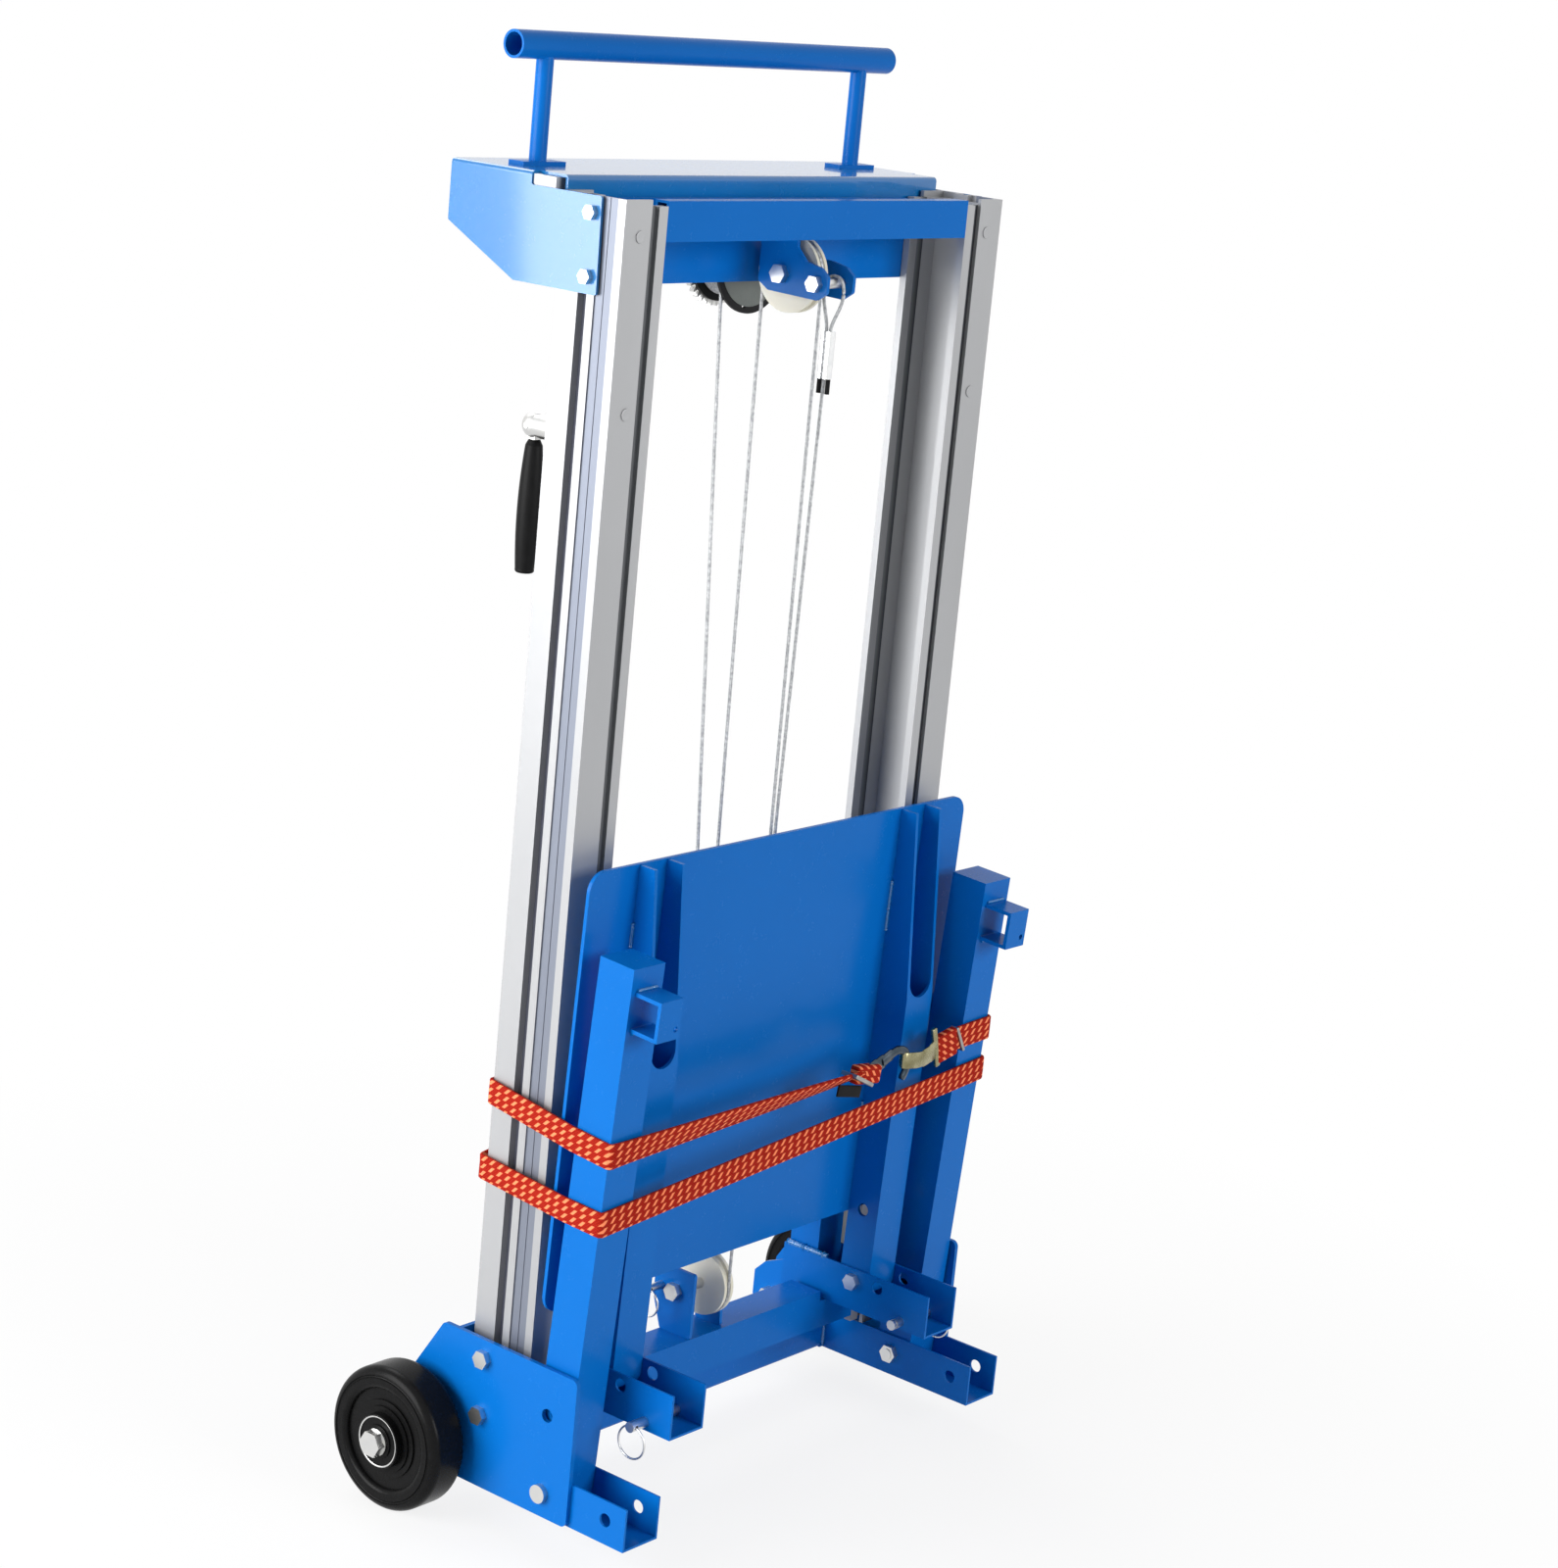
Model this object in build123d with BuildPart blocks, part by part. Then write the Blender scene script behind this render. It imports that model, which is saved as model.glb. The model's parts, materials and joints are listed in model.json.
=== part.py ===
import os
from math import atan2, cos, degrees, hypot, pi, radians, sin, sqrt, tan

from build123d import *

os.makedirs("parts", exist_ok=True)

# Driving sizes in millimetres: +X is the right mast, -Y the front, +Z up
# Depths count from the middle of the mast slots, heights from a level just above the floor
floor_gap = 31.0
wheel_r = 75.0
wheel_w = 46.0
hub_len = 58.5
axle_y = 79.0
axle_z = 66.5
axle_d = 16.0
axle_gap = 3.5
bearing_r = 26.5
leg_w = 44.0
leg_len = 556.0
leg_lean = 3.44
leg_wall = 3.0
leg_play = 0.5
leg_y = -90.0
foot_x = 277.0
foot_wall = 2.5
foot_h = 45.0
foot_front = -198.0
foot_rear = 44.0
plate_t = 5.0
mast_x = 289.0
mast_w = 36.4
mast_front = -46.0
mast_depth = 79.0
mast_wall = 4.0
mast_top = 1318.0
mast_play = 0.6
rail_lip = 12.4
rail_gap = 9.6
rail_drop = 6.0
rail_bottom = 84.0
bar_h = 38.0
bar_t = 16.5
arm_x = 205.0
arm_w = 44.0
arm_play = 0.5
arm_y = -82.0
arm_z = 156.0
arm_deep = 18.5
channel_wall = 2.5
channel_h = 47.0
channel_z = 123.0
channel_front = -184.0
platform_lean = 1.9
platform_w = 590.0
platform_low = 231.0
platform_top = 686.0
platform_t = 4.0
pin_d = 11.0
pin_y = -150.0
pin_out = 22.0
keeper_d = 9.0
anchor_d = 10.0
lock_span = 82.0
lock_d = 14.0
hood_t = 3.0
hood_rear = 178.0
hood_rise = 13.0
handle_y = 119.0
handle_rise = 112.0
handle_d = 27.0
handle_half = 281.0
post_x = 237.0
post_d = 17.0
drum_x = 38.0
drum_z = 1243.0
drum_front = 72.0
drum_len = 40.0
drum_flange_r = 54.0
drum_core_r = 36.2
rope_d = 3.5
rope_gap = 0.35
wind_turns = 7
gear_module = 2.5
gear_teeth = 40
pinion_teeth = 11
shaft_d = 12.0
crank_len = 220.0
crank_turn = 21.9
ball_r = 14.0
grip_len = 138.0
grip_r = 10.5
sheave_w = 14.0
sheave_rim = 1.0
strap_w = 26.0
strap_t = 1.8
fit_run = 0.05
fit_bolt = 0.2
gap = 0.4

# Sizes that follow from the driving ones
foot_top = floor_gap + foot_h
foot_half = leg_w / 2 + leg_play + foot_wall
leg_z = floor_gap + foot_wall + leg_play + leg_w / 2
mast_rear = mast_front + mast_depth
mast_bottom = foot_top + 0.2
rail_top = mast_top - rail_drop
rail_in = mast_w + rail_gap
rail_x = mast_x - rail_in - rail_lip
bar_top = mast_top - 1.0
bar_low = bar_top - bar_h
bar_rear = mast_front + bar_t
channel_half = arm_w / 2 + arm_play + channel_wall
channel_top = channel_z + channel_h
pin_z = arm_z - arm_deep - gap - pin_d / 2
plate_rear = arm_y + 25.5
plate_y = plate_rear - platform_t
plate_in = foot_x + foot_half
plate_out = plate_in + plate_t
wheel_x = plate_out + axle_gap
hood_top = mast_top + hood_rise
handle_z = hood_top + handle_rise
rope_r = rope_d / 2
crank_y = hood_rear + 6.0
knuckle_y = crank_y + 35.0
grip_swell = grip_r + 2.0

# The pieces are written with their origin on the floor, below the middle of the whole lift
middle_y = (foot_front + knuckle_y + grip_swell) / 2
floor_z = axle_z - wheel_r


def block(x0, x1, y0, y1, z0, z1, mode=Mode.ADD):
    """Add or cut a square-edged block between the given faces."""
    with Locations(((x0 + x1) / 2, (y0 + y1) / 2, (z0 + z1) / 2)):
        Box(x1 - x0, y1 - y0, z1 - z0, mode=mode)


def rod_x(x0, x1, y, z, r, mode=Mode.ADD):
    """Add or cut a round bar along X."""
    with Locations(Location((min(x0, x1), y, z), (0, 90, 0))):
        Cylinder(r, abs(x1 - x0), align=(Align.CENTER, Align.CENTER, Align.MIN), mode=mode)


def rod_y(y0, y1, x, z, r, mode=Mode.ADD):
    """Add or cut a round bar along Y."""
    with Locations(Location((x, min(y0, y1), z), (-90, 0, 0))):
        Cylinder(r, abs(y1 - y0), align=(Align.CENTER, Align.CENTER, Align.MIN), mode=mode)


def rod_z(z0, z1, x, y, r, mode=Mode.ADD):
    """Add or cut a round bar along Z."""
    with Locations((x, y, min(z0, z1))):
        Cylinder(r, abs(z1 - z0), align=(Align.CENTER, Align.CENTER, Align.MIN), mode=mode)


def slab(x0, x1, points, r=0, mode=Mode.ADD):
    """Add or cut a plate that stands in the YZ plane, with its corners rounded."""
    with BuildSketch(Plane.YZ.offset(min(x0, x1))) as face:
        with BuildLine():
            Polyline(*points, close=True)
        make_face()
        if r:
            fillet(face.vertices(), r)
    extrude(face.sketch, amount=abs(x1 - x0), mode=mode)


def hex_x(x0, x1, y, z, across):
    """Add a hexagon along X, measured across its flats."""
    with BuildSketch(Plane.YZ.offset(min(x0, x1))) as face:
        with Locations((y, z)):
            RegularPolygon(across / sqrt(3), 6)
    extrude(face.sketch, amount=abs(x1 - x0))


def hex_y(y0, y1, x, z, across):
    """Add a hexagon along Y, measured across its flats."""
    with BuildSketch(Plane.XZ.offset(-max(y0, y1))) as face:
        with Locations((x, z)):
            RegularPolygon(across / sqrt(3), 6)
    extrude(face.sketch, amount=abs(y1 - y0))


def save(part, name):
    """Set one piece over the lift's origin, label it and write its file."""
    placed = Pos(0, -middle_y, -floor_z) * part
    placed.label = name
    export_step(placed, "parts/" + name + ".step")


# Base: two foot channels, two side plates and the crossbar, welded into one frame
inner_in = foot_x - foot_half - plate_t
lock_y = leg_y - lock_span
lock_z = leg_z + lock_span
bolt_zs = (foot_top + 31.0, foot_top + 91.0)
bar45 = 45.0
with BuildPart() as base_frame:
    for s in (-1, 1):
        xc = s * foot_x
        block(xc - foot_half, xc + foot_half, foot_front, foot_rear, floor_gap, foot_top)
        inner = leg_w / 2 + leg_play
        block(xc - inner, xc + inner, foot_front - 1, foot_rear + 1, floor_gap + foot_wall, foot_top + 1, Mode.SUBTRACT)
        rise = floor_gap + 156.0
        outline = [(-126, floor_gap), (72, floor_gap), (122, 63), (122, 88), (58, rise), (-126, rise - 1)]
        slab(s * plate_in, s * plate_out, outline, 7)
        step = mast_rear + 3.0
        ledge = rail_bottom - 2.0
        outline = [(5, floor_gap), (72, floor_gap), (108, 62), (108, 91), (94, 105), (step, 129), (step, ledge), (5, ledge)]
        slab(s * inner_in, s * (inner_in + plate_t), outline)
        xa, xb = s * inner_in, s * plate_in
        block(min(xa, xb), max(xa, xb), step, step + plate_t, foot_top, rise)
        xa, xb = s * (inner_in - 1), s * (plate_out + 1)
        rod_x(xa, xb, leg_y, leg_z, shaft_d / 2 + fit_bolt, Mode.SUBTRACT)
        rod_x(xa, xb, lock_y, leg_z, lock_d / 2, Mode.SUBTRACT)
        rod_x(s * plate_in, xb, leg_y, lock_z, lock_d / 2, Mode.SUBTRACT)
        rod_x(xa, xb, axle_y, axle_z, axle_d / 2 + fit_bolt, Mode.SUBTRACT)
        for z in bolt_zs:
            rod_x(s * plate_in, xb, 0, z, 5 + fit_bolt, Mode.SUBTRACT)
    with BuildSketch(Plane.YZ.offset(-foot_x + foot_half)) as tube:
        with Locations((5 + bar45 / 2, floor_gap + bar45 / 2)):
            RectangleRounded(bar45, bar45, 5)
            RectangleRounded(bar45 - 6, bar45 - 6, 2, mode=Mode.SUBTRACT)
    extrude(amount=2 * (foot_x - foot_half))
save(base_frame.part, "base_frame")

# Wheels: a black tyre on a stepped hub, each turning on its own axle bolt
tyre_in = wheel_r - 23.0
bore = axle_d / 2 + fit_run
for side, s in (("left", -1), ("right", 1)):
    a, b = s * wheel_x, s * (wheel_x + hub_len)
    mid = (a + b) / 2
    with BuildPart() as tyre:
        with BuildSketch(Plane.XY.offset(axle_z)) as ring:
            with Locations((mid, axle_y + (wheel_r + tyre_in) / 2)):
                Rectangle(wheel_w, wheel_r - tyre_in)
            fillet(ring.vertices().group_by(Axis.Y)[-1], 10)
            fillet(ring.vertices().group_by(Axis.Y)[0], 6)
        revolve(axis=Axis((mid, axle_y, axle_z), (1, 0, 0)))
        for e in (-1, 1):
            face_x = mid + e * wheel_w / 2
            with BuildSketch(Plane.XY.offset(axle_z)) as line:
                with Locations((face_x, axle_y + wheel_r - 10)):
                    Circle(1.6)
            revolve(axis=Axis((mid, axle_y, axle_z), (1, 0, 0)), mode=Mode.SUBTRACT)
    save(tyre.part, "wheel_tyre_" + side)
    with BuildPart() as hub:
        half = wheel_w / 2 - 6
        rod_x(mid - half, mid + half, axle_y, axle_z, tyre_in)
        rod_x(mid - half - 2, mid + half + 2, axle_y, axle_z, bearing_r + 14)
        rod_x(mid - half - 4, mid + half + 4, axle_y, axle_z, bearing_r + 8)
        rod_x(a, b, axle_y, axle_z, bearing_r + 2)
        rod_x(b, b - s * 1.5, axle_y, axle_z, bearing_r, Mode.SUBTRACT)
        rod_x(b - s * 2, b, axle_y, axle_z, bearing_r - 9)
        rod_x(a - s, b + s, axle_y, axle_z, bore, Mode.SUBTRACT)
    save(hub.part, "wheel_hub_" + side)
with BuildPart() as axle_bolts:
    for s in (-1, 1):
        end = wheel_x + hub_len
        rod_x(s * (inner_in - 14), s * (end + 1.5), axle_y, axle_z, axle_d / 2)
        rod_x(s * (plate_out + 0.01), s * (wheel_x - gap), axle_y, axle_z, axle_d / 2 + 5)
        rod_x(s * (end + gap), s * (end + 2.0), axle_y, axle_z, axle_d / 2 + 6)
        hex_x(s * (end + 2.0), s * (end + 11), axle_y, axle_z, 24)
        hex_x(s * (inner_in - 13), s * (inner_in - 0.01), axle_y, axle_z, 24)
save(axle_bolts.part, "axle_bolts")

# Outer masts: aluminium channels open inwards, with a slot and a shallow recess outside
def strip(s, u0, u1, v0, v1, mode=Mode.ADD):
    """Add or cut a rectangle of a mast section; u runs inwards from the outer face."""
    with Locations((s * (mast_x - (u0 + u1) / 2), (v0 + v1) / 2)):
        Rectangle(u1 - u0, v1 - v0, mode=mode)


hood_bolts = ((-7.0, mast_top - 16.0), (-7.0, mast_top - 75.0))
screw_u = mast_w - 14.0
screw_zs = (mast_top - 34.0, mast_top - 199.0)
for side, s in (("left", -1), ("right", 1)):
    with BuildPart() as mast:
        with BuildSketch(Plane.XY.offset(mast_bottom)) as section:
            strip(s, 0, mast_w, mast_front, mast_rear)
            strip(s, mast_wall, mast_w + 1, mast_front + mast_wall, mast_rear - mast_wall, Mode.SUBTRACT)
            strip(s, 0, mast_wall + 7, -9.5, 9.5)
            strip(s, -1, mast_wall + 4, -5.5, 5.5, Mode.SUBTRACT)
            strip(s, -1, 1.5, -36, -15, Mode.SUBTRACT)
            strip(s, -1, 2.3, -26, -25, Mode.SUBTRACT)
        extrude(amount=mast_top - mast_bottom)
        for z in screw_zs:
            rod_y(mast_front - 1, mast_front + 2.5, s * (mast_x - screw_u), z, 4.2, Mode.SUBTRACT)
        for y, z in hood_bolts:
            rod_x(s * (mast_x + 1), s * (mast_x - mast_wall - 4), y, z, 4 + fit_bolt, Mode.SUBTRACT)
        for z in bolt_zs:
            rod_x(s * (mast_x + 1), s * (mast_x - mast_wall - 8), 0, z, 5 + fit_bolt, Mode.SUBTRACT)
    save(mast.part, "outer_mast_" + side)

# Inner masts: lipped channels that slide inside the outer ones
rail_u = mast_wall + 7 + 1.0
rail_f = mast_front + mast_wall + mast_play
rail_r = mast_rear - mast_wall - mast_play
for side, s in (("left", -1), ("right", 1)):
    with BuildPart() as rail:
        with BuildSketch(Plane.XY.offset(rail_bottom)) as section:
            strip(s, rail_u, rail_in + rail_lip, rail_f, rail_r)
            strip(s, rail_in, rail_in + rail_lip, mast_front, mast_rear - mast_play)
            strip(s, rail_u + 4, rail_in + rail_lip + 1, rail_f + 4, rail_r - 4, Mode.SUBTRACT)
        extrude(amount=rail_top - rail_bottom)
    save(rail.part, "inner_mast_" + side)

# Front crossbar on top of the inner masts and the sheave bracket below it
with BuildPart() as front_crossbar:
    block(-rail_x, rail_x, mast_front, bar_rear, bar_low, bar_top)
    block(-rail_x - 1, rail_x + 1, mast_front + 2.5, bar_rear - 2.5, bar_low + 2.5, bar_top - 2.5, Mode.SUBTRACT)
save(front_crossbar.part, "front_crossbar")

top_x, top_y, top_z = 0.0, -12.6, bar_low - 37.0
top_r = 37.5
eye_y, eye_z = top_y - top_r - 7.4, bar_low - 41.0
cheek_t = 4.0
cheek_left, cheek_right = top_x - 18.0, top_x + 26.0
with BuildPart() as top_bracket:
    lobe = [
        (16.5, eye_z - 6),
        (3, eye_z - 14),
        (eye_y - 2, eye_z - 16),
        (eye_y - 14, eye_z - 8),
        (eye_y - 14, eye_z + 8),
        (eye_y - 4, eye_z + 16),
        (bar_rear - 12, eye_z + 20),
    ]
    neck = [(bar_rear, eye_z + 32), (bar_rear, rail_top), (16.5, rail_top)]
    slab(cheek_left, cheek_left + cheek_t, lobe + neck, 4)
    slab(cheek_right - cheek_t, cheek_right, lobe + [(16.5, eye_z + 20)], 4)
    for y, z, r in ((top_y, top_z, shaft_d / 2), (eye_y, eye_z, anchor_d / 2)):
        rod_x(cheek_left - 1, cheek_right + 1, y, z, r + fit_bolt, Mode.SUBTRACT)
save(top_bracket.part, "top_bracket")


def through_bolt(x0, x1, y, z, r, across):
    """A bolt along X with its head before x0 and its nut past x1."""
    rod_x(x0 - 1, x1 + 9, y, z, r)
    hex_x(x0 - 7.5, x0, y, z, across)
    hex_x(x1, x1 + 7, y, z, across)


def sheave(x, y, z, pitch_r, name):
    """A white rope sheave with a groove cut for the rope."""
    floor = pitch_r - rope_r - rope_gap
    with BuildPart() as wheel:
        rod_x(x - sheave_w / 2, x + sheave_w / 2, y, z, pitch_r + sheave_rim)
        with BuildSketch(Plane.XY.offset(z)) as groove:
            with BuildLine():
                Polyline(
                    (x - rope_r - rope_gap, y + floor),
                    (x + rope_r + rope_gap, y + floor),
                    (x + rope_r + 2.6, y + pitch_r + 5),
                    (x - rope_r - 2.6, y + pitch_r + 5),
                    close=True,
                )
            make_face()
        revolve(axis=Axis((x, y, z), (1, 0, 0)), mode=Mode.SUBTRACT)
        rod_x(x - sheave_w, x + sheave_w, y, z, shaft_d / 2 + fit_run, Mode.SUBTRACT)
    save(wheel.part, name)


sheave(top_x, top_y, top_z, top_r, "top_sheave")

# Bottom crossbar of the inner mast, stepped at its ends, and the bracket of the lower sheave
low_x, low_r = 0.0, 34.0
low_y, low_z = -20.8, 181.0
low_in = 42.0
low_bar = rail_bottom + 7.0
low_top = low_z - 47.0
step_top = channel_z - 0.6
step_x = arm_x - channel_half - 8.0
keeper_y, keeper_z = low_y + 19.0, low_z + 1.0
with BuildPart() as bottom_crossbar:
    block(-rail_x, rail_x, mast_front, mast_front + 42, low_bar, step_top)
    block(-rail_x - 1, rail_x + 1, mast_front + 3, mast_front + 39, low_bar + 3, step_top - 3, Mode.SUBTRACT)
    block(-step_x, step_x, mast_front, mast_front + 42, step_top, low_top)
save(bottom_crossbar.part, "bottom_crossbar")
low_near = low_x + sheave_w / 2 + 1.6
with BuildPart() as lower_bracket:
    outline = [
        (mast_front, low_top),
        (mast_front + 42, low_top),
        (low_y + 29, low_z - 13),
        (low_y + 29, low_z + 15),
        (low_y + 19, low_z + 25),
        (mast_front, low_z + 25),
    ]
    slab(low_x - low_in - cheek_t, low_x - low_in, outline, 3)
    outline = [(low_y - 20, low_top), (low_y + 15, low_top), (low_y + 15, low_z + 14), (low_y - 15, low_z + 14)]
    slab(low_near, low_near + cheek_t, outline, 3)
    rod_x(low_x - 60, low_x + 60, low_y, low_z, shaft_d / 2 + fit_bolt, Mode.SUBTRACT)
    rod_x(low_x - 60, low_x, keeper_y, keeper_z, keeper_d / 2 + fit_run, Mode.SUBTRACT)
save(lower_bracket.part, "lower_bracket")
low_out = low_in + cheek_t
with BuildPart() as bracket_axles:
    through_bolt(cheek_left, cheek_right, top_y, top_z, shaft_d / 2, 17)
    through_bolt(cheek_left, cheek_right, eye_y, eye_z, anchor_d / 2, 15)
    through_bolt(low_x - low_out, low_near + cheek_t, low_y, low_z, shaft_d / 2, 17)
save(bracket_axles.part, "bracket_axles")
sheave(low_x, low_y, low_z, low_r, "lower_sheave")

# Carriage: two forward channels, uprights, two crossbars and the carriage sheave bracket
car_x, car_r = 21.0, 32.8
car_y, car_z = -4.4, 361.0
car_in = 12.0
beam_low = 246.0
beam_high = 552.0
beam_h = 36.0
post_f, post_r = -26.0, 13.0
with BuildPart() as carriage_frame:
    for s in (-1, 1):
        xc = s * arm_x
        block(xc - channel_half, xc + channel_half, channel_front, 17, channel_z, channel_top)
        inner = arm_w / 2 + arm_play
        block(xc - inner, xc + inner, channel_front - 1, post_f, channel_z + channel_wall, channel_top + 1, Mode.SUBTRACT)
        block(xc - 20, xc + 20, post_f, post_r, channel_top, beam_high + beam_h)
        rod_x(xc - 40, xc + 40, arm_y, arm_z, shaft_d / 2 + fit_bolt, Mode.SUBTRACT)
        rod_x(xc - 40, xc + 40, pin_y, pin_z, pin_d / 2 + fit_run, Mode.SUBTRACT)
        rod_x(xc - 40, xc + 40, arm_y - 33, arm_z + 2, lock_d / 2, Mode.SUBTRACT)
    for z in (beam_low, beam_high):
        block(-arm_x + 20, arm_x - 20, post_f, post_r, z, z + beam_h)
    for s in (-1, 1):
        x0 = car_x + s * car_in
        low = beam_low + beam_h
        outline = [(post_f + 4, low), (post_r, low), (car_y + 14, car_z + 14), (car_y - 14, car_z + 14)]
        slab(x0, x0 + s * cheek_t, outline, 3)
    rod_x(car_x - 30, car_x + 30, car_y, car_z, shaft_d / 2 + fit_bolt, Mode.SUBTRACT)
save(carriage_frame.part, "carriage_frame")
with BuildPart() as carriage_glides:
    for s in (-1, 1):
        for z in (beam_low - 30, beam_high + 4):
            u0 = rail_u + 4 + gap
            x0, x1 = s * (mast_x - u0), s * (arm_x + 20)
            block(min(x0, x1), max(x0, x1), rail_f + 4 + gap, rail_r - 4 - gap, z, z + 30)
save(carriage_glides.part, "carriage_glides")
car_out = car_in + cheek_t
sheave(car_x, car_y, car_z, car_r, "carriage_sheave")
with BuildPart() as carriage_bolts:
    through_bolt(car_x - car_out, car_x + car_out, car_y, car_z, shaft_d / 2, 17)
    for s in (-1, 1):
        through_bolt(s * arm_x - channel_half, s * arm_x + channel_half, arm_y, arm_z, shaft_d / 2, 16)
save(carriage_bolts.part, "carriage_bolts")

# Platform: a round-cornered plate on two tapered arms that swing in the carriage channels
arm_front = arm_y - arm_deep
slot_z = 484.0


def swing(part, y, z, angle):
    """Turn a piece about the X axis through (y, z); a positive angle leans it forward."""
    return Pos(0, y, z) * Rot(angle, 0, 0) * Pos(0, -y, -z) * part


with BuildPart() as plate:
    with BuildSketch(Plane.XZ.offset(-plate_rear)) as face:
        with Locations((0, (platform_low + platform_top) / 2)):
            RectangleRounded(platform_w, platform_top - platform_low, 20)
    extrude(amount=platform_t)
save(swing(plate.part, arm_y, arm_z, platform_lean), "platform_plate")
for side, s in (("left", -1), ("right", 1)):
    xc = s * arm_x
    side_view = [
        (plate_y, arm_z + 10),
        (plate_y, platform_top - 1),
        (plate_y - 20, platform_top - 1),
        (arm_front, slot_z),
        (arm_front, arm_z),
    ]
    with BuildPart() as arm:
        slab(xc - arm_w / 2, xc + arm_w / 2, side_view)
        rod_x(xc - arm_w / 2, xc + arm_w / 2, arm_y, arm_z, arm_deep)
        core = arm_w / 2 - 4
        block(xc - core, xc + core, arm_front + 4, plate_y + 1, arm_z - 30, platform_top + 1, Mode.SUBTRACT)
        with BuildSketch(Plane.XZ.offset(-plate_y)) as mouth:
            with Locations((xc, slot_z + 150)):
                Rectangle(2 * core, 300 - 2 * core)
            with Locations((xc, slot_z + core)):
                Circle(core)
        extrude(amount=120, mode=Mode.SUBTRACT)
        with BuildSketch(Plane.XZ.offset(-plate_y)) as throat:
            with Locations((xc, slot_z + 150 + core)):
                Rectangle(2 * core, 300)
        extrude(amount=120, mode=Mode.SUBTRACT)
        rod_x(xc - 40, xc + 40, arm_y, arm_z, shaft_d / 2 + fit_run, Mode.SUBTRACT)
        rod_x(xc - 40, xc + 40, arm_y + 2, arm_z + lock_span, lock_d / 2, Mode.SUBTRACT)
    save(swing(arm.part, arm_y, arm_z, platform_lean), "platform_arm_" + side)

# Legs: square tubes closed on top, with a flat-bar foot loop near the free end
loop_deep = leg_z - leg_w / 2
for side, s in (("left", -1), ("right", 1)):
    xc = s * foot_x
    top = leg_z + leg_len
    half = leg_w / 2
    with BuildPart() as leg:
        block(xc - half, xc + half, leg_y - half, leg_y + half, leg_z, top)
        rod_x(xc - half, xc + half, leg_y, leg_z, half)
        wall = half - leg_wall
        block(xc - wall, xc + wall, leg_y - wall, leg_y + wall, leg_z - half - 1, top - leg_wall, Mode.SUBTRACT)
        rod_x(xc - 60, xc + 60, leg_y, leg_z, shaft_d / 2 + fit_run, Mode.SUBTRACT)
        rod_x(xc - 60, xc + 60, leg_y, lock_z, lock_d / 2, Mode.SUBTRACT)
    save(swing(leg.part, leg_y, leg_z, leg_lean), "leg_" + side)
    with BuildPart() as loop:
        with BuildSketch(Plane.YZ.offset(xc - 16)) as ring:
            with Locations((leg_y - half - loop_deep / 2, top - 44)):
                RectangleRounded(loop_deep + 10, 41, 6)
                RectangleRounded(loop_deep + 2, 33, 3, mode=Mode.SUBTRACT)
            with Locations((leg_y - half + 20, top - 44)):
                Rectangle(40, 60, mode=Mode.SUBTRACT)
            with Locations((leg_y - half - loop_deep - 20, top - 44)):
                Rectangle(40, 60, mode=Mode.SUBTRACT)
            with Locations((leg_y - half - loop_deep + 2, top - 44)):
                Rectangle(4, 33)
        extrude(amount=32)
        rod_y(leg_y - half - loop_deep - 1, leg_y - half - 10, xc + 9, top - 54, 3, Mode.SUBTRACT)
    save(swing(loop.part, leg_y, leg_z, leg_lean), "foot_loop_" + side)
with BuildPart() as leg_bolts:
    for s in (-1, 1):
        x0, x1 = s * (foot_x - foot_half), s * plate_out
        rod_x(x0 - s * 8, x1 + s, leg_y, leg_z, shaft_d / 2)
        rod_x(x1, x1 + s * 6, leg_y, leg_z, 9.5)
        hex_x(x0, x0 - s * 7, leg_y, leg_z, 18)
save(leg_bolts.part, "leg_bolts")

# Bolts of the fixed frame: hood to masts and side plates to masts, with spacer tubes
hood_in = mast_x + 0.1
hood_out = hood_in + hood_t
with BuildPart() as frame_bolts:
    for s in (-1, 1):
        for y, z in hood_bolts:
            rod_x(s * (hood_out + 1), s * (mast_x - mast_wall - 3), y, z, 4)
            hex_x(s * hood_out, s * (hood_out + 5.5), y, z, 13)
        for z in bolt_zs:
            rod_x(s * (plate_out + 1), s * (mast_x - mast_wall - 6), 0, z, 5)
            hex_x(s * plate_out, s * (plate_out + 7), 0, z, 17)
            rod_x(s * (mast_x + 0.01), s * (plate_in - 0.01), 0, z, 9)
save(frame_bolts.part, "frame_bolts")

# Hood: a folded sheet with side plates, a front flange and a notch at each front corner
notch_x = mast_x - 8.0
notch_y = mast_rear + 39.0
flange_y = mast_rear + 3.0
flange_low = mast_top - 8.0
with BuildPart() as hood:
    for s in (-1, 1):
        outline = [
            (hood_rear, hood_top),
            (hood_rear, mast_top - 45.5),
            (hood_rear - 91, mast_top - 91),
            (mast_front + 26, mast_top - 91),
            (mast_front + 28, mast_top),
            (notch_y, mast_top),
            (notch_y, hood_top),
        ]
        slab(s * hood_in, s * hood_out, outline, 2.5)
        for y, z in hood_bolts:
            rod_x(s * (hood_in - 1), s * (hood_out + 1), y, z, 4 + fit_bolt, Mode.SUBTRACT)
    block(-hood_out, hood_out, notch_y, hood_rear, hood_top - hood_t, hood_top)
    block(-notch_x, notch_x, flange_y, notch_y, hood_top - hood_t, hood_top)
    block(-notch_x, notch_x, flange_y, flange_y + hood_t, flange_low, hood_top)
    rim = [e for e in hood.edges().filter_by(Axis.Y) if abs(e.center().X) > hood_out - 0.1]
    rim = [e for e in rim if e.center().Z > hood_top - 0.1 and e.length > 50]
    fillet(rim, 4.5)
    fold = [e for e in hood.edges().filter_by(Axis.X) if abs(e.center().Y - flange_y) < 0.1]
    fillet([e for e in fold if e.center().Z > hood_top - 0.1], hood_t + 1.5)
save(hood.part, "hood")
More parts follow.
